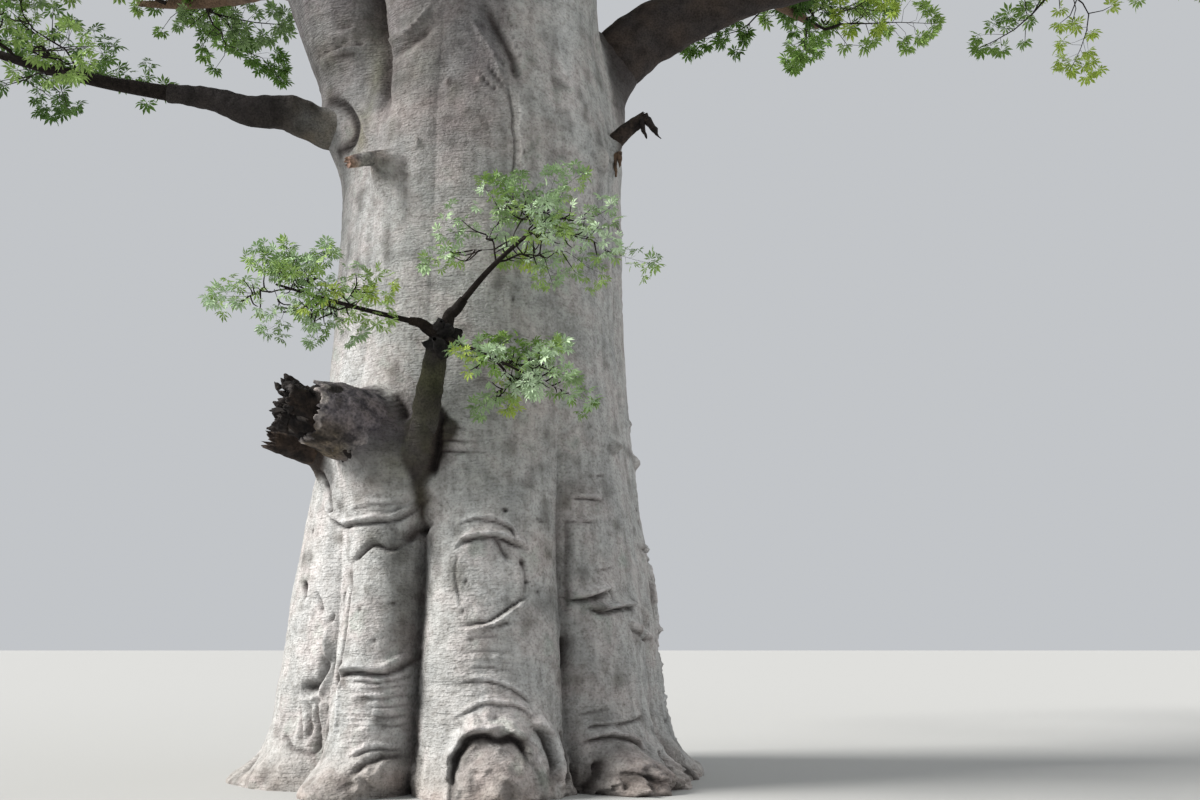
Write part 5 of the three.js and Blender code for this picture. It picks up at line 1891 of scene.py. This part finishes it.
# How a mass's sprays are drawn: leaf kind and radius, side twigs over each blade's place, side twigs along
# the bare twig, leaves at each, droop, how far the side twigs spread, sides of a twig, and its slimness
SPRAYS = {
    "front": ("fine", 0.106, 9, 4, 3, 0.4, 1.35, 6, 0.62),
    "near": ("fine", 0.150, 12, 5, 6, 0.6, 1.1, 5, 0.7),
    "crown": ("plain", 0.195, 14, 6, 9, 0.3, 1.1, 4, 0.8),
}


def side_twig(foliage, mass, style, tone, start, direction, reach, base):
    """A curved twig that ends in a cluster of leaves, cut short where it would leave the mass's space."""
    kind, leaf_size, _, _, per_cluster, droop, _, sides, _ = SPRAYS[style]
    random = foliage.random
    end = start + direction * reach
    for _ in range(4):
        if is_inside(mass, end):
            break
        end = start + (end - start) * 0.7
    length = np.linalg.norm(end - start)
    bend = (start + end) / 2 + random.normal(0, 0.10 * length, 3) - vec(0, 0, 0.10 * length)
    line = np.array([start, bend, end])
    centres, sizes = refine(line, np.array([base, base * 0.75, base * 0.45]), 2 if sides > 5 else 1)
    add_tube(foliage.twigs, centres, sizes, max(3, sides - 2), TWIG_DARK)
    foliage.cluster(kind, tone, end, unit(end - bend), per_cluster, leaf_size, droop)


def grow_spray(foliage, mass, shoot, tones, style):
    """Carries one shoot on: its twig, then side twigs along it and over its blade's place, and leaves."""
    kind, leaf_size, clusters, along_twig, per_cluster, droop, spread, sides, slim = SPRAYS[style]
    random = foliage.random
    blade = shoot["blade"]
    length = blade["length"]
    points, sizes = refine(shoot["points"], shoot["radii"] * slim, 3)
    crooked = 0.05 * length * np.sin(np.linspace(0, math.pi, len(points)))
    points = points + random.normal(0, 1, (len(points), 3)) * crooked[:, None]
    axis_end = blade["root"] + (blade["tip"] - blade["root"]) * 0.86
    middle = (blade["root"] + axis_end) / 2 + random.normal(0, 0.05 * length, 3)
    walk = np.array([*points, middle, axis_end])
    thin = min(0.35 * sizes[-1], 0.012)
    radii = np.array([*sizes, sizes[-1] * 0.6, thin])
    centres, sizes = refine(walk, radii, 2)
    add_tube(foliage.twigs, centres, sizes, sides, TWIG_DARK)
    foliage.cluster(kind, tones[0], axis_end, unit(axis_end - middle), per_cluster + 1, leaf_size, droop)
    for k in range(clusters):
        share = 0.08 + 0.84 * (k + random.uniform(0.2, 0.8)) / clusters
        arch = math.sin(math.pi * share)
        sag = (middle - (blade["root"] + axis_end) / 2) * arch
        start = blade["root"] + (axis_end - blade["root"]) * share + sag
        widest = BLADE["widest"]
        widening = share / widest if share < widest else (1.08 - share) / (1.08 - widest)
        reach = spread * length * max(0.14, BLADE["width"] / 2 * widening) * random.uniform(0.7, 1.1)
        turn = (1 if k % 2 else -1) * math.pi / 2 + random.normal(0, 0.55)
        aside = blade["across"] * math.sin(turn) + blade["normal"] * math.cos(turn)
        direction = unit(aside + blade["direction"] * random.uniform(0.35, 0.8) + vec(0, 0, 0.1))
        base = min(0.5 * np.interp(share, [0, 1], [shoot["radii"][-1] * slim, thin]), 0.014)
        side_twig(foliage, mass, style, tones[k % len(tones)], start, direction, reach, base)
    for k in range(along_twig):
        share = 0.35 + 0.65 * (k + random.uniform(0.1, 0.9)) / along_twig
        exact = share * (len(points) - 1.001)
        low = int(exact)
        start = points[low] + (points[low + 1] - points[low]) * (exact - low)
        heading_here = unit(points[low + 1] - points[low])
        aside = sideways(heading_here, random.uniform(0, 2 * math.pi))
        direction = unit(aside + heading_here * 0.6 + vec(0, 0, 0.15))
        reach = length * random.uniform(0.25, 0.5)
        if is_clear_of_limbs(start, start + direction * reach, leaf_size * 0.6):
            side_twig(foliage, mass, style, tones[k % len(tones)], start, direction, reach, 0.010)


STEM_SIDES = 12

# Chances of each leaf colour, by style and for the drooping mass at the right bough's end
TONE_CHANCES = {
    "front": [0.26, 0.10, 0.0, 0.0, 0.28, 0.04, 0.18, 0.14],
    "near": [0.25, 0.30, 0.2, 0.1, 0.0, 0.05, 0.0, 0.1],
    "crown": [0.20, 0.28, 0.25, 0.15, 0.0, 0.05, 0.0, 0.07],
    "right_end": [0.15, 0.15, 0.12, 0.13, 0.0, 0.45, 0.0, 0.0],
}


def foliage_pieces(twig_bark, leaf_materials):
    foliage = Foliage()
    for mass in masses:
        stem, shoots = kept_shoots(mass)
        style = "crown"
        if mass["name"].startswith("front_spray"):
            style = "front"
        if mass in (left_low_mass, right_end_mass):
            style = "near"
        chances = TONE_CHANCES["right_end" if mass is right_end_mass else style]
        stem_points, stem_radii = refine(stem[0], stem[1] * (0.8 if style == "front" else 1.0), 5)
        stem_tint = BARK_BROWN * 0.6 if style == "crown" else TWIG_DARK * 0.7
        add_tube(foliage.twigs, stem_points, stem_radii, STEM_SIDES, stem_tint)
        for shoot in shoots:
            tones = foliage.random.choice(len(LEAF_COLOURS), 2 if style == "front" else 1, p=chances)
            grow_spray(foliage, mass, shoot, [int(tone) for tone in tones], style)
    names = [mass["name"] for mass in masses]
    twigs = foliage.twigs.build("Twigs", twig_bark)
    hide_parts(*names)
    for tone, material in enumerate(leaf_materials):
        pile = Pile()
        for kind in ("fine", "plain"):
            leaves = foliage.leaves[kind][tone]
            if not leaves:
                continue
            template, triangles = leaf_template(simple=kind == "plain")
            roots, forward, up = [np.array([leaf[i] for leaf in leaves]) for i in range(3)]
            sizes = np.array([leaf[3] for leaf in leaves])
            side = np.cross(up, forward)
            side /= np.linalg.norm(side, axis=1)[:, None]
            axes = np.stack([forward, side, np.cross(forward, side)], 1) * sizes[:, None, None]
            places = np.einsum("vk,nkj->nvj", template, axes) + roots[:, None, :]
            faces = triangles[None] + (np.arange(len(leaves)) * len(template))[:, None, None]
            pile.add(places.reshape(-1, 3), None, faces.reshape(-1, 3))
        piece = pile.build(f"Leaves{tone + 1}", material, smooth=False)
        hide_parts(*names)


# Floor and light


FLOOR_HALF_SIZE = 300.0
FLOOR_COLOUR = (0.40, 0.40, 0.39, 1.0)
SKY_COLOUR = (0.93, 0.96, 1.0, 1.0)
SKY_STRENGTH = 0.58
# name, energy, width in degrees, colour, tilt and turn in degrees
SUNS = (
    ("KeyLight", 6.2, 22, (1.0, 0.98, 0.95), 54, -79),
    ("FillLight", 0.8, 70, (1.0, 1.0, 1.0), 62, 96),
)


def add_floor():
    corners = [(x * FLOOR_HALF_SIZE, y * FLOOR_HALF_SIZE, 0) for x, y in ((-1, -1), (1, -1), (1, 1), (-1, 1))]
    mesh = bpy.data.meshes.new("Floor")
    mesh.from_pydata(corners, [], [(0, 1, 2, 3)])
    floor = bpy.data.objects.new("Floor", mesh)
    bpy.context.scene.collection.objects.link(floor)
    look = Look("PaleFloor", 0.9, tinted=False)
    look.shader.inputs["Base Color"].default_value = FLOOR_COLOUR
    mesh.materials.append(look.material)


def add_lights():
    world = bpy.data.worlds.new("Studio")
    world.use_nodes = True
    sky = world.node_tree.nodes["Background"].inputs
    sky["Color"].default_value = SKY_COLOUR
    sky["Strength"].default_value = SKY_STRENGTH
    bpy.context.scene.world = world
    for name, energy, width, colour, tilt, turn in SUNS:
        sun = bpy.data.lights.new(name, "SUN")
        sun.energy = energy
        sun.angle = math.radians(width)
        sun.color = colour
        lamp = bpy.data.objects.new(name, sun)
        lamp.rotation_euler = (math.radians(tilt), 0.0, math.radians(turn))
        bpy.context.scene.collection.objects.link(lamp)
    bpy.context.scene.view_settings.view_transform = "Standard"


add_camera()
trunk_pieces(bark_material())
bough_pieces(limb_material())
dead_wood_piece(dead_wood_material())
foliage_pieces(twig_material(), [leaf_material(f"Leaf{i + 1}", c) for i, c in enumerate(LEAF_COLOURS)])
add_floor()
add_lights()
